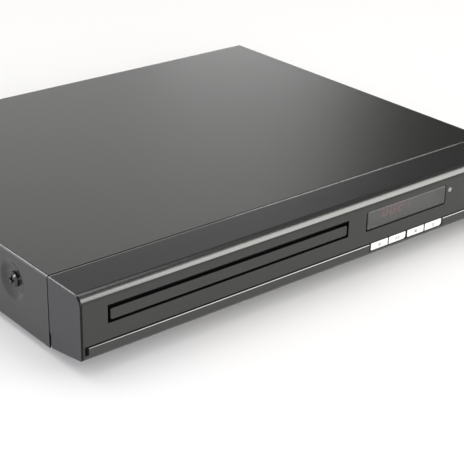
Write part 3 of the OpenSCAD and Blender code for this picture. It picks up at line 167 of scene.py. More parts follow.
class Tree:
    """A material's nodes, with short calls to add and join them."""

    def __init__(self, name):
        self.material = bpy.data.materials.new(name)
        self.material.use_nodes = True
        self.tree = self.material.node_tree
        self.tree.nodes.clear()
        self.shader = self.add("ShaderNodeBsdfPrincipled")
        output = self.add("ShaderNodeOutputMaterial")
        self.join(self.shader, "BSDF", output, "Surface")
        self.place = self.add("ShaderNodeTexCoord")

    def add(self, kind, **values):
        node = self.tree.nodes.new(kind)
        for key, value in values.items():
            setattr(node, key, value)
        return node

    def join(self, source, output, target, socket):
        self.tree.links.new(source.outputs[output], target.inputs[socket])

    def set(self, **values):
        """Sets the shader's sockets; Coat_Weight stands for Coat Weight."""
        for key, value in values.items():
            self.shader.inputs[key.replace("_", " ")].default_value = value

    def noise(self, scale, detail=3.0, rough=0.55, stretch=None):
        node = self.add("ShaderNodeTexNoise")
        node.inputs["Scale"].default_value = scale
        node.inputs["Detail"].default_value = detail
        node.inputs["Roughness"].default_value = rough
        if stretch:
            mapping = self.add("ShaderNodeMapping")
            mapping.inputs["Scale"].default_value = stretch
            self.join(self.place, "Object", mapping, "Vector")
            self.join(mapping, "Vector", node, "Vector")
        else:
            self.join(self.place, "Object", node, "Vector")
        return node

    def ramp(self, source, output, stops, constant=False):
        node = self.add("ShaderNodeValToRGB")
        if constant:
            node.color_ramp.interpolation = "CONSTANT"
        elements = node.color_ramp.elements
        while len(elements) < len(stops):
            elements.new(0.5)
        for element, (at, colour) in zip(elements, stops):
            element.position = at
            element.color = (*colour, 1.0)
        self.join(source, output, node, "Fac")
        return node

    def colour(self, source, output, stops, constant=False):
        """The base colour, from a ramp."""
        tone = self.ramp(source, output, stops, constant)
        self.join(tone, "Color", self.shader, "Base Color")
        return tone

    def gloss(self, source, low, high):
        """The roughness, varied between two values by a noise."""
        node = self.add("ShaderNodeMapRange")
        for key, value in (("From Min", 0.3), ("From Max", 0.7), ("To Min", low), ("To Max", high)):
            node.inputs[key].default_value = value
        self.join(source, "Fac", node, "Value")
        self.join(node, "Result", self.shader, "Roughness")

    def bump(self, source, strength, distance, after=None):
        node = self.add("ShaderNodeBump")
        node.inputs["Strength"].default_value = strength
        node.inputs["Distance"].default_value = distance
        self.join(source, "Fac", node, "Height")
        if after:
            self.join(after, "Normal", node, "Normal")
        self.join(node, "Normal", self.shader, "Normal")
        return node


def shade(colour, share):
    return tuple(min(1.0, c * share) for c in colour)


def moulded(name, colour, rough=0.4, grain=900, depth=0.00002, level=0.5, blotch=0.12, spread=0.055,
            coat=0.0, coat_rough=0.03, ior=1.5):
    """Moulded plastic or rubber: fine spark-eroded grain, slight unevenness in tone and gloss."""
    t = Tree(name)
    wide = t.noise(scale=35, detail=4)
    fine = t.noise(scale=grain, detail=2)
    t.colour(wide, "Fac", [(0.3, shade(colour, 1 - blotch)), (0.7, shade(colour, 1 + blotch))])
    t.gloss(fine, rough - spread, rough + spread)
    t.bump(fine, 0.35, depth)
    t.set(Specular_IOR_Level=level, IOR=ior, Coat_Weight=coat, Coat_Roughness=coat_rough)
    return t.material


def powder_coat(name, colour, rough, level):
    """Textured paint on sheet steel: fine bright and dark grain, orange peel under it."""
    t = Tree(name)
    grain = t.noise(scale=1500, detail=2, rough=0.7)
    peel = t.noise(scale=260, detail=2)
    wide = t.noise(scale=7, detail=3)
    grain_stops = [(0.28, shade(colour, 0.7)), (0.5, colour), (0.74, shade(colour, 1.5))]
    grain_tone = t.ramp(grain, "Fac", grain_stops)
    wide_tone = t.ramp(wide, "Fac", [(0.3, (0.94, 0.94, 0.94)), (0.7, (1.0, 1.0, 1.0))])
    mix = t.add("ShaderNodeMix", data_type="RGBA", blend_type="MULTIPLY")
    mix.inputs["Factor"].default_value = 1.0
    # A colour mix has its two colours in sockets 6 and 7, and its result in socket 2
    t.join(grain_tone, "Color", mix, 6)
    t.join(wide_tone, "Color", mix, 7)
    t.join(mix, 2, t.shader, "Base Color")
    t.gloss(grain, rough - 0.05, rough + 0.05)
    under = t.bump(peel, 0.25, 0.00003)
    t.bump(grain, 0.5, 0.00002, after=under)
    t.set(Specular_IOR_Level=level)
    return t.material


def metal(name, colour, rough, brushed=None, spangle=False):
    """Bare or plated metal, brushed along one axis or with the blotches of zinc plating."""
    t = Tree(name)
    fine = t.noise(scale=300 if brushed else 1200, detail=3, rough=0.6, stretch=brushed)
    t.set(Metallic=1.0)
    if spangle:
        cells = t.add("ShaderNodeTexVoronoi")
        cells.inputs["Scale"].default_value = 220
        t.join(t.place, "Object", cells, "Vector")
        t.colour(cells, "Distance", [(0.0, shade(colour, 0.86)), (1.0, shade(colour, 1.12))])
    else:
        t.colour(fine, "Fac", [(0.3, shade(colour, 0.88)), (0.7, shade(colour, 1.08))])
    t.gloss(fine, rough * 0.75, rough * 1.3)
    t.bump(fine, 0.15, 0.00002)
    return t.material


def board(name, colour, track):
    """Circuit board: solder resist over copper tracks."""
    t = Tree(name)
    mapping = t.add("ShaderNodeMapping")
    mapping.inputs["Scale"].default_value = (420, 260, 420)
    t.join(t.place, "Object", mapping, "Vector")
    lines = t.add("ShaderNodeTexBrick")
    lines.inputs["Scale"].default_value = 1.0
    lines.inputs["Mortar Size"].default_value = 0.06
    lines.inputs["Color1"].default_value = (*colour, 1)
    lines.inputs["Color2"].default_value = (*shade(colour, 0.8), 1)
    lines.inputs["Mortar"].default_value = (*track, 1)
    t.join(mapping, "Vector", lines, "Vector")
    t.join(lines, "Color", t.shader, "Base Color")
    t.bump(lines, 0.3, 0.00005)
    t.set(Roughness=0.35)
    return t.material


def smoked():
    """Smoked window, through which the lit digits show."""
    t = Tree("smoked_window")
    fine = t.noise(scale=60, detail=3)
    t.colour(fine, "Fac", [(0.3, (0.083, 0.086, 0.084)), (0.7, (0.087, 0.090, 0.088))])
    t.gloss(fine, 0.07, 0.09)
    t.set(Alpha=0.66)
    return t.material


def glowing(name, colour, strength):
    """A lit display segment."""
    t = Tree(name)
    fine = t.noise(scale=2500, detail=2)
    tone = t.colour(fine, "Fac", [(0.3, shade(colour, 0.9)), (0.7, colour)])
    t.join(tone, "Color", t.shader, "Emission Color")
    t.set(Emission_Strength=strength, Roughness=0.5)
    return t.material


def socket_colours():
    """One colour for each phono socket, from left to right seen from the front."""
    t = Tree("phono_insert")
    split = t.add("ShaderNodeSeparateXYZ")
    t.join(t.place, "Object", split, "Vector")
    across = t.add("ShaderNodeMapRange")
    low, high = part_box("rca_inserts")
    across.inputs["From Min"].default_value = low.x
    across.inputs["From Max"].default_value = high.x
    t.join(split, "X", across, "Value")
    yellow, white = (0.75, 0.55, 0.02), (0.75, 0.75, 0.72)
    red, black = (0.55, 0.02, 0.02), (0.02, 0.02, 0.02)
    t.colour(across, "Result", [(0.0, yellow), (0.25, white), (0.5, red), (0.75, black)], constant=True)
    fine = t.noise(scale=1200, detail=2)
    t.gloss(fine, 0.28, 0.4)
    t.bump(fine, 0.2, 0.00001)
    return t.material


# Very fine even grain, as on the front
FINE = {"grain": 1400, "depth": 0.000002, "blotch": 0.02, "spread": 0.01}
CHARCOAL = (0.025, 0.025, 0.0245)

EDGE = moulded("polished_edge", CHARCOAL, 0.1, level=1.0, ior=2.6, **{**FINE, "depth": 0.0000005})
# Painted highlight: bright metal on the plastic fascia's sloping lip, for the thin bright line along the
# seam
LIP_HIGHLIGHT = metal("painted_lip_highlight", (0.36, 0.36, 0.35), 0.1)
COVER = powder_coat("cover_paint", (0.024, 0.024, 0.0215), 0.22, 0.5)
FRONT = moulded("front_plastic", (0.027, 0.027, 0.0262), 0.25, level=0.36, **FINE)
# Painted shade: a shaded copy of the front plastic for the fascia's flat top, a little darker and less
# reflective
FRONT_TOP_SHADED = moulded("front_plastic_top_shaded", CHARCOAL, 0.25, level=0.13, **FINE)
# Painted shade: near black in the gaps, on the cover's cut edge, the fascia's inner walls and the sides of
# the door and buttons
GAP_SHADE = moulded("painted_gap_shade", (0.004, 0.004, 0.004), 0.5, depth=0.000001, level=0.1, blotch=0.05)
BAND = moulded("front_band", CHARCOAL, 0.25, level=1.0, coat=0.5, coat_rough=0.34, ior=2.0, **FINE)
RUBBED = moulded("rubbed_edge", (0.024, 0.024, 0.0225), 0.2, grain=1400, depth=0.000002, level=1.0,
                 blotch=0.05, coat=1.0, coat_rough=0.2)
TRIM = moulded("trim_plastic", (0.028, 0.028, 0.027), 0.22, **FINE)
BLACK_SHEET = powder_coat("black_sheet", (0.016, 0.016, 0.017), 0.5, 0.3)
SILVER = moulded("silver_plastic", (0.68, 0.68, 0.67), 0.35, depth=0.000004, blotch=0.02)
SYMBOL = moulded("symbol_ink", (0.26, 0.26, 0.27), 0.5)
BLACK = moulded("black_plastic", (0.022, 0.022, 0.024), 0.42)
TRAY = moulded("tray_plastic", (0.026, 0.026, 0.028), 0.36, grain=1300)
IVORY = moulded("ivory_plastic", (0.62, 0.59, 0.50), 0.38, blotch=0.05)
RUBBER = moulded("rubber", (0.020, 0.020, 0.020), 0.75, grain=700, depth=0.00004, level=0.3)
CHIP = moulded("chip_plastic", (0.018, 0.018, 0.020), 0.45)
LED = moulded("led_plastic", (0.26, 0.26, 0.25), 0.22, level=0.6)
RIBBON = moulded("ribbon_plastic", (0.60, 0.60, 0.57), 0.45)
TAPE = moulded("coil_tape", (0.62, 0.48, 0.06), 0.35, blotch=0.18)
SLEEVE = moulded("can_sleeve", (0.018, 0.024, 0.075), 0.28)
ZINC = metal("zinc_sheet", (0.56, 0.57, 0.58), 0.34, spangle=True)
STEEL = metal("bright_steel", (0.70, 0.69, 0.67), 0.2)
# Painted reflection: the side screws' shiny heads are darkened to stand for the dark room they reflect
SCREW_DARK_REFLECTION = metal("screw_dark_reflection", (0.075, 0.075, 0.078), 0.2)
CAN = metal("motor_can", (0.52, 0.52, 0.53), 0.3, brushed=(1, 1, 12))
ALLOY = metal("cast_alloy", (0.46, 0.46, 0.47), 0.45)
BRASS = metal("brass", (0.66, 0.47, 0.20), 0.25)
NICKEL = metal("nickel", (0.66, 0.63, 0.57), 0.2)
FERRITE = metal("magnet", (0.16, 0.16, 0.17), 0.5)
GREEN = board("green_board", (0.012, 0.080, 0.030), (0.030, 0.140, 0.060))
BROWN = board("brown_board", (0.26, 0.17, 0.07), (0.34, 0.24, 0.11))
WINDOW = smoked()
# Painted shade and reflection: the gap shade along the window's sides and bottom, and the dark reflection on
# the rounded corners between the fascia's ends and its front
PAINTED_DARK_EDGES = moulded("painted_edge_shade", (0.004, 0.004, 0.004), 0.3, depth=0.000001, level=0.2, blotch=0.05)
LENS = moulded("lens_glass", (0.05, 0.07, 0.20), 0.08, coat=0.6)
LIT = glowing("lit_segment", (0.78, 0.11, 0.07), 1.2)

LOOKS = {
    COVER: ["top_cover"],
    BLACK_SHEET: ["rear_panel", "rear_screws"],
    FRONT: ["front_fascia", "tray_door"],
    TRIM: ["chin_strip"],
    SILVER: BUTTONS,
    WINDOW: ["display_window"],
    LED: ["power_led"],
    TRAY: ["disc_tray"],
    BLACK: ["loader_frame", "lift_frame", "turntable", "rod_holders", "display_module", "rca_housing",
            "mains_inlet"],
    ZINC: ["bottom_chassis", "clamp_bridge", "mech_deck"],
    IVORY: ["clamp_puck", "cam_slider", "feed_gear", "motor_pulley", "pulley_gear", "tray_gear"],
    FERRITE: ["clamp_magnet"],
    RUBBER: ["dampers", "turntable_pad", "drive_belt", "feet"],
    STEEL: ["damper_screws", "spindle_shaft", "guide_rods", "machine_screws"],
    SCREW_DARK_REFLECTION: ["cover_side_screws"],
    CAN: ["spindle_motor", "sled_motor", "loading_motor"],
    ALLOY: ["pickup_body", "heat_sink"],
    LENS: ["pickup_lens"],
    BRASS: ["feed_pinion"],
    GREEN: ["front_board", "main_board"],
    BROWN: ["power_board"],
    LIT: ["lit_segments"],
    RIBBON: ["front_ribbon"],
    CHIP: ["ir_receiver", "tact_switches", "board_chips"],
    NICKEL: ["hdmi_socket", "rca_sleeves"],
    socket_colours(): ["rca_inserts"],
    TAPE: ["transformer"],
    SLEEVE: ["capacitors"],
}
LOOK_OF = {node: look for look, members in LOOKS.items() for node in members}


def give(obj, look):
    obj.data.materials.clear()
    obj.data.materials.append(look)


# ---------------------------------------------------------------- rounding

# Points closer than this are one, and faces that meet at less than this angle are one flat face
MERGE = 2e-6
FLAT = math.radians(0.6)


def smooth_from(bm, degrees=32):
    """Smooth faces, with a hard edge wherever two faces meet at more than this angle."""
    for face in bm.faces:
        face.smooth = True
    for edge in bm.edges:
        edge.smooth = len(edge.link_faces) == 2 and edge.calc_face_angle(0) < math.radians(degrees)


def sharp_edges(bm, degrees, where):
    """Edges where two faces meet at more than this angle, of those that the test picks."""
    limit = math.radians(degrees)
    return [e for e in bm.edges if len(e.link_faces) == 2 and e.calc_face_angle(0) > limit and where(e)]


def anywhere(edge):
    return True


def rounding(width, segments=3, degrees=35, where=anywhere):
    """Width in millimetres, faces across it, least angle between the faces, and the test for the edges."""
    return width, segments, degrees, where


def weigh(piece):
    """Shading that keeps large flat faces flat beside the narrow roundings."""
    normals = piece.modifiers.new("even_normals", "WEIGHTED_NORMAL")
    normals.keep_sharp = True
    normals.weight = 60


def refined(node, rounds, before=None, after=None, looks=()):
    """A copy of a CAD node with its flat faces joined up and its sharp edges rounded; it replaces the node.

    Each of rounds comes from rounding() and is done in turn, on the edges that its test picks.
    Each of looks is (test, material) for the faces that the test picks, by their centre in millimetres."""
    source = nodes[node]
    mesh = source.data.copy()
    piece = bpy.data.objects.new(f"{node}_finish", mesh)
    bpy.context.scene.collection.objects.link(piece)
    bm = bmesh.new()
    bm.from_mesh(mesh)
    bmesh.ops.remove_doubles(bm, verts=bm.verts, dist=MERGE)
    bmesh.ops.dissolve_limit(bm, angle_limit=FLAT, verts=bm.verts, edges=bm.edges)
    if before:
        before(bm)
    for width, segments, degrees, where in rounds:
        edges = sharp_edges(bm, degrees, where)
        bmesh.ops.bevel(bm, geom=edges, offset=width * MM, segments=segments, profile=0.5, affect="EDGES",
                        clamp_overlap=False)
    if after:
        after(bm)
    smooth_from(bm)
    bm.to_mesh(mesh)
    bm.free()
    if mesh.has_custom_normals:
        mesh.attributes.remove(mesh.attributes["custom_normal"])
    give(piece, LOOK_OF[node])
    for index, (where, look) in enumerate(looks, 1):
        mesh.materials.append(look)
        for face in mesh.polygons:
            if where(face.center / MM):
                face.material_index = index
    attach(piece, source["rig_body"])
    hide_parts(node)
    weigh(piece)


def soften(node, width, segments=2):
    """Rounds the edges of a CAD node by modifiers alone."""
    obj = nodes[node]
    weld = obj.modifiers.new("joined", "WELD")
    weld.merge_threshold = MERGE
    flat = obj.modifiers.new("flat_faces", "DECIMATE")
    flat.decimate_type = "DISSOLVE"
    flat.angle_limit = FLAT
    round_off = obj.modifiers.new("soft_edges", "BEVEL")
    round_off.width = width * MM
    round_off.segments = segments
    round_off.limit_method = "ANGLE"
    round_off.angle_limit = math.radians(40)
    weigh(obj)


# ---------------------------------------------------------------- which edges and faces

def other_than(test):
    """The opposite of a test."""
    return lambda item: not test(item)


def on_end(edge):
    """Edges around the outline of the fascia's two ends, without their back edge and its notch."""
    ends = [v.co for v in edge.verts]
    outline = all(abs(end.x) > (HALF_WIDTH - ABOUT) * MM for end in ends)
    return outline and any(end.y < Y_FRONT + NOTCH_START * MM for end in ends)


def strip_top(edge):
    """The front top edge of the chin strip."""
    ends = [v.co for v in edge.verts]
    near = NEAR * MM
    return all(end.z > STRIP_BOX[1].z - near and end.y < STRIP_BOX[0].y + near for end in ends)


def behind(centre):
    """Distance of a face behind the front's face."""
    return centre.y - Y_FRONT / MM


def below_top(centre):
    return Z_TOP / MM - centre.z


def from_end(centre):
    """Distance of a face from the nearer end of the case."""
    return HALF_WIDTH - abs(centre.x)


def deeper(depth):
    """A test for the faces further behind the front's face than this."""
    return lambda centre: behind(centre) > depth


def behind_front(centre):
    """Inner walls of the fascia: those of the slot, the window, the button bay and everything behind. They
    get painted shade, near black, for the gap's shadow.
    """
    hooks = behind(centre) > FASCIA_DEPTH + NEAR and abs(centre.x) < HOOK_HALF
    at_walls = abs(centre.x) < INNER_HALF and INNER_Z[0] < centre.z < INNER_Z[1]
    return hooks or (at_walls and behind(centre) > INNER_START)


def front_top(centre):
    """The flat top of the fascia, which gets the shaded copy of the front plastic."""
    return below_top(centre) < ABOUT and behind(centre) > FRONT_R - ABOUT


def on_lip(centre):
    """The sloping last strip of the fascia's top, which gets bright metal as a painted highlight."""
    on_strip = FASCIA_DEPTH - LIP[0] < behind(centre) < FASCIA_DEPTH
    return on_strip and below_top(centre) < LIP_BELOW and from_end(centre) > SIDE_REACH


def on_end_round(centre):
    """On the rounding of an end, and not on the flat end itself."""
    return END_FLAT < from_end(centre) < END_ROUND


def end_top(centre):
    """The rounding between the fascia's ends and its top."""
    on_top = END_TURN <= behind(centre) < FASCIA_DEPTH and below_top(centre) < TOP_REACH
    return on_top and on_end_round(centre)


def end_corner(centre):
    """The rounding between the fascia's ends and its front, which gets a painted dark reflection."""
    return on_end_round(centre) and behind(centre) < END_TURN


def on_band(centre):
    """The rounding along the fascia's top front edge, without its first and last part."""
    back, down = behind(centre), below_top(centre)
    turn = math.degrees(math.atan2(FRONT_R - back, FRONT_R - down))
    on_edge = 0 < back < FRONT_R and down < FRONT_R and from_end(centre) > END_ROUND
    return on_edge and BAND_TURN[0] < turn < BAND_TURN[1]


def cover_edge(centre):
    """The folds along the cover's top."""
    return from_end(centre) < FOLD and below_top(centre) < FOLD and behind(centre) > FASCIA_DEPTH


def front_cut(centre):
    """The cover's cut edge in the seam behind the fascia, painted near black as the seam's shade."""
    return behind(centre) < FASCIA_DEPTH + CUT_REACH


def strip_edge(centre):
    """The rounding along the top of the chin strip."""
    reach = STRIP_ROUND + 0.02
    at_top = centre.z > STRIP_BOX[1].z / MM - STRIP_DROP - reach
    return at_top and centre.y < STRIP_BOX[0].y / MM + reach


def window_border(centre):
    """The border along the sides and the bottom of the window, painted near black as the shade of the gap
    around it.
    """
    low, high = WINDOW_BOX
    inside = min(centre.x - low.x, high.x - centre.x, centre.z - low.z) - WINDOW_FLANGE
    return behind(centre) < 1 and inside < BORDER_REACH


def window_top(centre):
    """The polished top edge of the window."""
    inside = WINDOW_BOX[1].z - centre.z - WINDOW_FLANGE
    return behind(centre) < 1 and inside < BORDER_REACH


# ---------------------------------------------------------------- shapes

def notch_shape(bm):
    """Moves the lowest corner of the notch in each end up, clear of the rounding along the underside."""
    for vert in bm.verts:
        place = vert.co / MM
        on_corner = abs(behind(place) - NOTCH[0]) < NEAR and abs(place.z - NOTCH[1]) < NEAR
        if on_corner and from_end(place) < NOTCH_REACH:
            vert.co.y += NOTCH_MOVE[0] * MM
            vert.co.z += NOTCH_MOVE[1] * MM


def lip_shape(bm):
    """Slopes the last strip of the fascia's top down to the seam, so that it catches the light.

    It narrows the seam at the sides too. The large faces at the fascia's back don't stay flat when their
    corners move, so they are cut into triangles first."""
    start = Y_FRONT + (FASCIA_DEPTH - LIP[0]) * MM
    top = Z_TOP - TOP_REACH * MM
    faces = [f for f in bm.faces if f.normal.z > 0.1 and f.calc_center_median().z > top]
    edges = {e for f in faces for e in f.edges}
    verts = {v for f in faces for v in f.verts}
    geom = list(verts) + list(edges) + faces
    bmesh.ops.bisect_plane(bm, geom=geom, plane_co=(0, start, 0), plane_no=(0, 1, 0))
    back_low, back_high = (FASCIA_DEPTH - ABOUT) * MM, (FASCIA_DEPTH + NEAR) * MM
    large = [f for f in bm.faces if len(f.verts) > 4]
    back = [f for f in large if f.calc_center_median().y > Y_FRONT + back_low]
    bmesh.ops.triangulate(bm, faces=back)
    for vert in bm.verts:
        if vert.co.y > start and vert.co.z > top:
            vert.co.z -= (vert.co.y - start) / LIP[0] * LIP[1]
        on_back = back_low < vert.co.y - Y_FRONT < back_high
        at_side = abs(vert.co.x) > (HALF_WIDTH - SIDE_REACH) * MM and vert.co.z > SIDE_SEAM_Z * MM
        if on_back and at_side:
            vert.co.y += SIDE_SEAM * MM


def strip_shape(bm):
    """Lowers the rounded top edge of the chin strip a little, which opens the groove above it."""
    for vert in bm.verts:
        if vert.co.z > STRIP_BOX[1].z - STRIP_EDGE * MM:
            vert.co.z -= STRIP_DROP * MM


def press_dimple(bm, cy, cz, side, face_x):
    """Puts rings of faces on an S-shaped slope in place of the straight cone of one dimple."""
    outer, inner, depth = (size * MM for size in DIMPLE)

    def spot(vert):
        """Distance from the dimple's axis, and depth below the cover's side."""
        return math.hypot(vert.co.y - cy, vert.co.z - cz), face_x - side * vert.co.x

    def on_rim(vert):
        r, x = spot(vert)
        return abs(r - outer) < ABOUT * MM and x < NEAR * MM

    def on_floor(vert):
        r, x = spot(vert)
        return abs(r - inner) < ABOUT * MM and abs(x - depth) < NEAR * MM

    def on_cone(face):
        rims = [on_rim(v) for v in face.verts]
        floors = [on_floor(v) for v in face.verts]
        return all(a or b for a, b in zip(rims, floors)) and any(rims) and any(floors)

    def around(vert):
        return math.atan2(vert.co.z - cz, vert.co.y - cy)

    cone = [f for f in bm.faces if on_cone(f)]
    ends = {v for f in cone for v in f.verts}
    outside = sorted((v for v in ends if on_rim(v)), key=around)
    inside = sorted((v for v in ends if on_floor(v)), key=around)
    if len(outside) != len(inside) or not outside:
        return
    bmesh.ops.delete(bm, geom=cone, context="FACES_ONLY")
    columns = []
    for a, b in zip(outside, inside):
        column = [a]
        for k in range(1, DIMPLE_RINGS):
            share = k / DIMPLE_RINGS
            soft = share * share * (3 - 2 * share)
            flat = a.co.lerp(b.co, share)
            column.append(bm.verts.new((side * (face_x - depth * soft), flat.y, flat.z)))
        columns.append(column + [b])
    for a, b in zip(columns, columns[1:] + columns[:1]):
        for k in range(DIMPLE_RINGS):
            bm.faces.new((a[k], a[k + 1], b[k + 1], b[k]))


def dimple_shape(bm):
    """Turns the cover's straight-sided dimples into soft pressed ones."""
    low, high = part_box("cover_side_screws")
    radius = (high.z - low.z) / 2
    face_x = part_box("top_cover")[1].x
    for cy in (low.y + radius, high.y - radius):
        for side in (-1, 1):
            press_dimple(bm, cy, (low.z + high.z) / 2, side, face_x)
    bmesh.ops.recalc_face_normals(bm, faces=bm.faces)


def border_ring(bm):
    """A ring of faces around the front of the window, for its border of painted gap shade."""
    front = max((f for f in bm.faces if f.normal.y < -0.99), key=lambda f: f.calc_area())
    bmesh.ops.inset_region(bm, faces=[front], thickness=BORDER * MM, use_even_offset=True)


# ---------------------------------------------------------------- symbols

def symbol(name, outline, body):
    """A flat thin piece that rides on the named button, from outline points (x, z)."""
    bm = bmesh.new()
    front = [bm.verts.new((x * MM, Y_FRONT + SYMBOL_Y * MM, z * MM)) for x, z in outline]
    face = bm.faces.new(front)
    bmesh.ops.recalc_face_normals(bm, faces=[face])
    grown = bmesh.ops.extrude_face_region(bm, geom=[face])
    moved = [g for g in grown["geom"] if isinstance(g, bmesh.types.BMVert)]
    bmesh.ops.translate(bm, verts=moved, vec=(0, SYMBOL_DEPTH * MM, 0))
    bmesh.ops.recalc_face_normals(bm, faces=bm.faces)
    smooth_from(bm)
    mesh = bpy.data.meshes.new(name)
    bm.to_mesh(mesh)
    bm.free()
    piece = bpy.data.objects.new(name, mesh)
    bpy.context.scene.collection.objects.link(piece)
    give(piece, SYMBOL)
    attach(piece, body)


def oblong(left, right, low, high):
    return [(left, low), (right, low), (right, high), (left, high)]


def open_ring(cx, cz, r, width, start, end, steps=28):
    angles = [math.radians(start + (end - start) * i / steps) for i in range(steps + 1)]
    outer = [(cx + r * math.cos(a), cz + r * math.sin(a)) for a in angles]
    inner_r = r - width
    inner = [(cx + inner_r * math.cos(a), cz + inner_r * math.sin(a)) for a in reversed(angles)]
    return outer + inner


def add_symbols():
    """Open/close, play and pause, stop and standby, each on its button."""
    eject, play, stop, standby = BUTTONS

    def middle(node):
        low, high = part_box(node)
        return (low.x + high.x) / 2 / MM, (low.z + high.z) / 2 / MM

    x, z = middle(eject)
    half, bar_low, bar_high, tip = 0.95, -0.75, -0.4, 0.95
    symbol("symbol_open", [(x - half, z - 0.1), (x + half, z - 0.1), (x, z + tip)], eject)
    symbol("symbol_open_bar", oblong(x - half, x + half, z + bar_low, z + bar_high), eject)
    x, z = middle(play)
    symbol("symbol_play", [(x - 1.3, z - 0.8), (x + 0.1, z), (x - 1.3, z + 0.8)], play)
    for i, left in enumerate((0.45, 1.05)):
        pause_bar = oblong(x + left, x + left + 0.32, z - 0.75, z + 0.75)
        symbol(f"symbol_pause_{i}", pause_bar, play)
    x, z = middle(stop)
    half = 0.75
    symbol("symbol_stop", oblong(x - half, x + half, z - half, z + half), stop)
    x, z = middle(standby)
    symbol("symbol_standby", open_ring(x, z - 0.05, 0.85, 0.26, 125, 415), standby)
    symbol("symbol_standby_bar", oblong(x - 0.14, x + 0.14, z + 0.1, z + 1.0), standby)


# ---------------------------------------------------------------- light and floor

# Floor: its radius and its height, in metres
FLOOR_RADIUS = 12
FLOOR_Z = -0.0002
# What the floor gives off where it is seen: near the case, far away, and where the change starts and ends
FLOOR_LIFT = 0.04
FAR_LIFT = 0.36
LIFT_FROM = 1.0
LIFT_TO = 3.5
# Room light on matt surfaces
ROOM = 0.82
# Dark ceiling in gloss: share of the way up at which it begins and is full, and the light left there
CEILING = (0.44, 0.62)
CEILING_LIGHT = 0.12
# Dark curtain in gloss: its two soft edges, in degrees around the case from +X, and how dark it is
CURTAIN_BACK = (42.5, 48.0)
CURTAIN_FRONT = (-75.0, -65.0)
CURTAIN_DEPTH = 0.98


def area(name, place, aim_z, size, power, colour=(1, 1, 1), gloss=True, gloss_only=False):
    """A rectangular lamp turned to the middle of the case."""
    data = bpy.data.lights.new(name, "AREA")
    data.shape = "RECTANGLE"
    data.size, data.size_y = size
    data.energy = power
    data.color = colour
    lamp = bpy.data.objects.new(name, data)
    lamp.location = place
    lamp.visible_camera = False
    lamp.visible_glossy = gloss
    lamp.visible_diffuse = not gloss_only
    ahead = Vector((0, 0, aim_z)) - Vector(place)
    lamp.rotation_euler = ahead.to_track_quat("-Z", "Y").to_euler()
    bpy.context.scene.collection.objects.link(lamp)


def math_node(tree, kind, first, second):
    node = tree.nodes.new("ShaderNodeMath")
    node.operation = kind
    for socket, value in zip(node.inputs, (first, second)):
        if isinstance(value, (int, float)):
            socket.default_value = value
        else:
            tree.links.new(value, socket)
    return node.outputs[0]


def gradient(tree, source, low, high, to_low, to_high):
    """Smooth step of a value between low and high."""
    step = tree.nodes.new("ShaderNodeMapRange")
    step.interpolation_type = "SMOOTHSTEP"
    for key, value in (("From Min", low), ("From Max", high), ("To Min", to_low), ("To Max", to_high)):
        step.inputs[key].default_value = value
    tree.links.new(source, step.inputs["Value"])
    return step.outputs["Result"]


def ray_is(tree, *kinds):
    """1 for rays of any of these kinds."""
    path = tree.nodes.new("ShaderNodeLightPath")
    total = path.outputs[f"Is {kinds[0]} Ray"]
    for kind in kinds[1:]:
        total = math_node(tree, "MAXIMUM", total, path.outputs[f"Is {kind} Ray"])
    return total


def seen_rays(tree):
    """1 for rays that show the background: from the camera, in gloss and through glass."""
    return ray_is(tree, "Camera", "Glossy", "Transmission")


def make_floor():
    """White floor that takes the case's shadow. It gives off a little more light where it is seen."""
    material = bpy.data.materials.new("floor_white")
    material.use_nodes = True
    tree = material.node_tree
    tree.nodes.clear()
    output = tree.nodes.new("ShaderNodeOutputMaterial")
    paper = tree.nodes.new("ShaderNodeBsdfDiffuse")
    paper.inputs["Color"].default_value = (0.80, 0.80, 0.79, 1)
    glow = tree.nodes.new("ShaderNodeEmission")
    place = tree.nodes.new("ShaderNodeTexCoord")
    far = tree.nodes.new("ShaderNodeVectorMath")
    far.operation = "LENGTH"
    tree.links.new(place.outputs["Object"], far.inputs[0])
    lift = gradient(tree, far.outputs["Value"], LIFT_FROM, LIFT_TO, FLOOR_LIFT, FAR_LIFT)
    seen_lift = math_node(tree, "MULTIPLY", seen_rays(tree), lift)
    tree.links.new(seen_lift, glow.inputs["Strength"])
    total = tree.nodes.new("ShaderNodeAddShader")
    tree.links.new(paper.outputs[0], total.inputs[0])
    tree.links.new(glow.outputs[0], total.inputs[1])
    tree.links.new(total.outputs[0], output.inputs["Surface"])
    bm = bmesh.new()
    bmesh.ops.create_circle(bm, cap_ends=True, radius=FLOOR_RADIUS, segments=96)
    mesh = bpy.data.meshes.new("floor")
    bm.to_mesh(mesh)
    bm.free()
    mesh.materials.append(material)
    obj = bpy.data.objects.new("floor", mesh)
    bpy.context.scene.collection.objects.link(obj)
    obj.location.z = FLOOR_Z


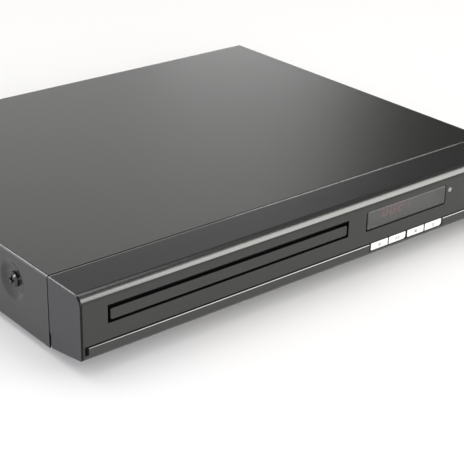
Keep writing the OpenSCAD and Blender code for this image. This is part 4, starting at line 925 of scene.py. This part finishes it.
def make_world():
    """White studio. Gloss shows its white wall, a dark ceiling and a dark curtain on the right."""
    world = bpy.data.worlds.new("studio")
    bpy.context.scene.world = world
    world.use_nodes = True
    tree = world.node_tree
    tree.nodes.clear()
    output = tree.nodes.new("ShaderNodeOutputWorld")
    place = tree.nodes.new("ShaderNodeTexCoord")
    split = tree.nodes.new("ShaderNodeSeparateXYZ")
    tree.links.new(place.outputs["Generated"], split.inputs[0])
    x, y, z = (split.outputs[i] for i in range(3))
    around = math_node(tree, "ARCTAN2", y, x)
    ceiling = gradient(tree, z, *CEILING, 1, CEILING_LIGHT)
    back = gradient(tree, around, *(math.radians(a) for a in CURTAIN_BACK), 1, 0)
    front = gradient(tree, around, *(math.radians(a) for a in CURTAIN_FRONT), 0, 1)
    curtain = math_node(tree, "MULTIPLY", math_node(tree, "MULTIPLY", back, front), CURTAIN_DEPTH)
    wall = math_node(tree, "MULTIPLY", ceiling, math_node(tree, "SUBTRACT", 1, curtain))
    shown = math_node(tree, "MAXIMUM", ray_is(tree, "Camera", "Transmission"), wall)
    white = tree.nodes.new("ShaderNodeBackground")
    white.inputs["Color"].default_value = (1, 1, 1, 1)
    tree.links.new(shown, white.inputs["Strength"])
    room = tree.nodes.new("ShaderNodeBackground")
    room.inputs["Color"].default_value = (0.995, 0.985, 0.98, 1)
    room.inputs["Strength"].default_value = ROOM
    pick = tree.nodes.new("ShaderNodeMixShader")
    tree.links.new(seen_rays(tree), pick.inputs["Fac"])
    tree.links.new(room.outputs[0], pick.inputs[1])
    tree.links.new(white.outputs[0], pick.inputs[2])
    tree.links.new(pick.outputs[0], output.inputs["Surface"])


def make_light():
    """Lamps around the case. Some give only reflections, some only matt light, and two give both."""
    warm, cool, violet = (1.0, 0.985, 0.965), (0.92, 0.95, 1.0), (0.60, 0.40, 1.0)
    cream, lilac = (1.0, 0.99, 0.95), (0.97, 0.94, 1.0)
    area("key_box", (1.07, -1.03, 0.80), 0.03, (1.2, 1.05), 8.5, cream, gloss_only=True)
    area("seam_strip", (1.706, 1.798, 0.326), 0.04, (0.6, 0.3), 2.5, gloss_only=True)
    area("front_right_box", (0.9, -1.2, 0.6), 0.03, (1.2, 0.8), 7, warm, gloss=False)
    area("front_box", (-0.65, -1.55, 0.4), 0.03, (1.2, 0.6), 17.5)
    area("left_box", (-1.5, 0.3, 0.12), 0.03, (1.0, 0.2), 8, violet, gloss=False)
    area("left_glow", (-1.55, 0.3, 0.55), 0.03, (0.35, 0.3), 4, lilac, gloss_only=True)
    area("overhead_box", (-0.1, 0.3, 1.6), 0, (1.6, 1.2), 8)
    area("back_left_box", (-0.68, 1.10, 0.93), 0, (0.5, 0.25), 3, cool, gloss_only=True)


# ---------------------------------------------------------------- build

for name, obj in nodes.items():
    give(obj, LOOK_OF[name])

refined("top_cover", [rounding(0.12, segments=2, degrees=50)], before=dimple_shape,
        looks=[(front_cut, GAP_SHADE), (cover_edge, RUBBED)])
refined("front_fascia",
        [rounding(END_ROUND, segments=5, degrees=50, where=on_end), rounding(0.3, where=other_than(on_end))],
        before=notch_shape, after=lip_shape,
        looks=[(front_top, FRONT_TOP_SHADED), (behind_front, GAP_SHADE), (on_lip, LIP_HIGHLIGHT), (end_top, RUBBED),
               (end_corner, PAINTED_DARK_EDGES), (on_band, BAND)])
refined("chin_strip",
        [rounding(STRIP_ROUND, where=strip_top), rounding(0.15, segments=2, where=other_than(strip_top))],
        after=strip_shape, looks=[(strip_edge, EDGE)])
refined("tray_door", [rounding(0.3)], looks=[(deeper(DOOR_SIDE), GAP_SHADE)])
refined("disc_tray", [rounding(0.3, segments=2)])
for button in BUTTONS:
    refined(button, [rounding(0.25)], looks=[(deeper(BUTTON_SIDE), GAP_SHADE)])
refined("display_window", [rounding(WINDOW_ROUND, segments=4)], after=border_ring,
        looks=[(window_border, PAINTED_DARK_EDGES), (window_top, RUBBED)])
soften("cover_side_screws", 0.5, segments=4)
for name in ("rear_panel", "bottom_chassis", "feet", "rca_housing", "rca_sleeves", "rca_inserts",
             "hdmi_socket", "mains_inlet", "rear_screws", "machine_screws", "loader_frame", "clamp_bridge",
             "clamp_puck", "power_led", "turntable", "pickup_body", "tray_gear", "pulley_gear",
             "transformer", "heat_sink", "board_chips", "capacitors", "loading_motor", "spindle_motor"):
    soften(name, 0.15)

add_symbols()
make_floor()
make_world()
make_light()
make_camera()
bpy.context.scene.view_settings.view_transform = "Standard"
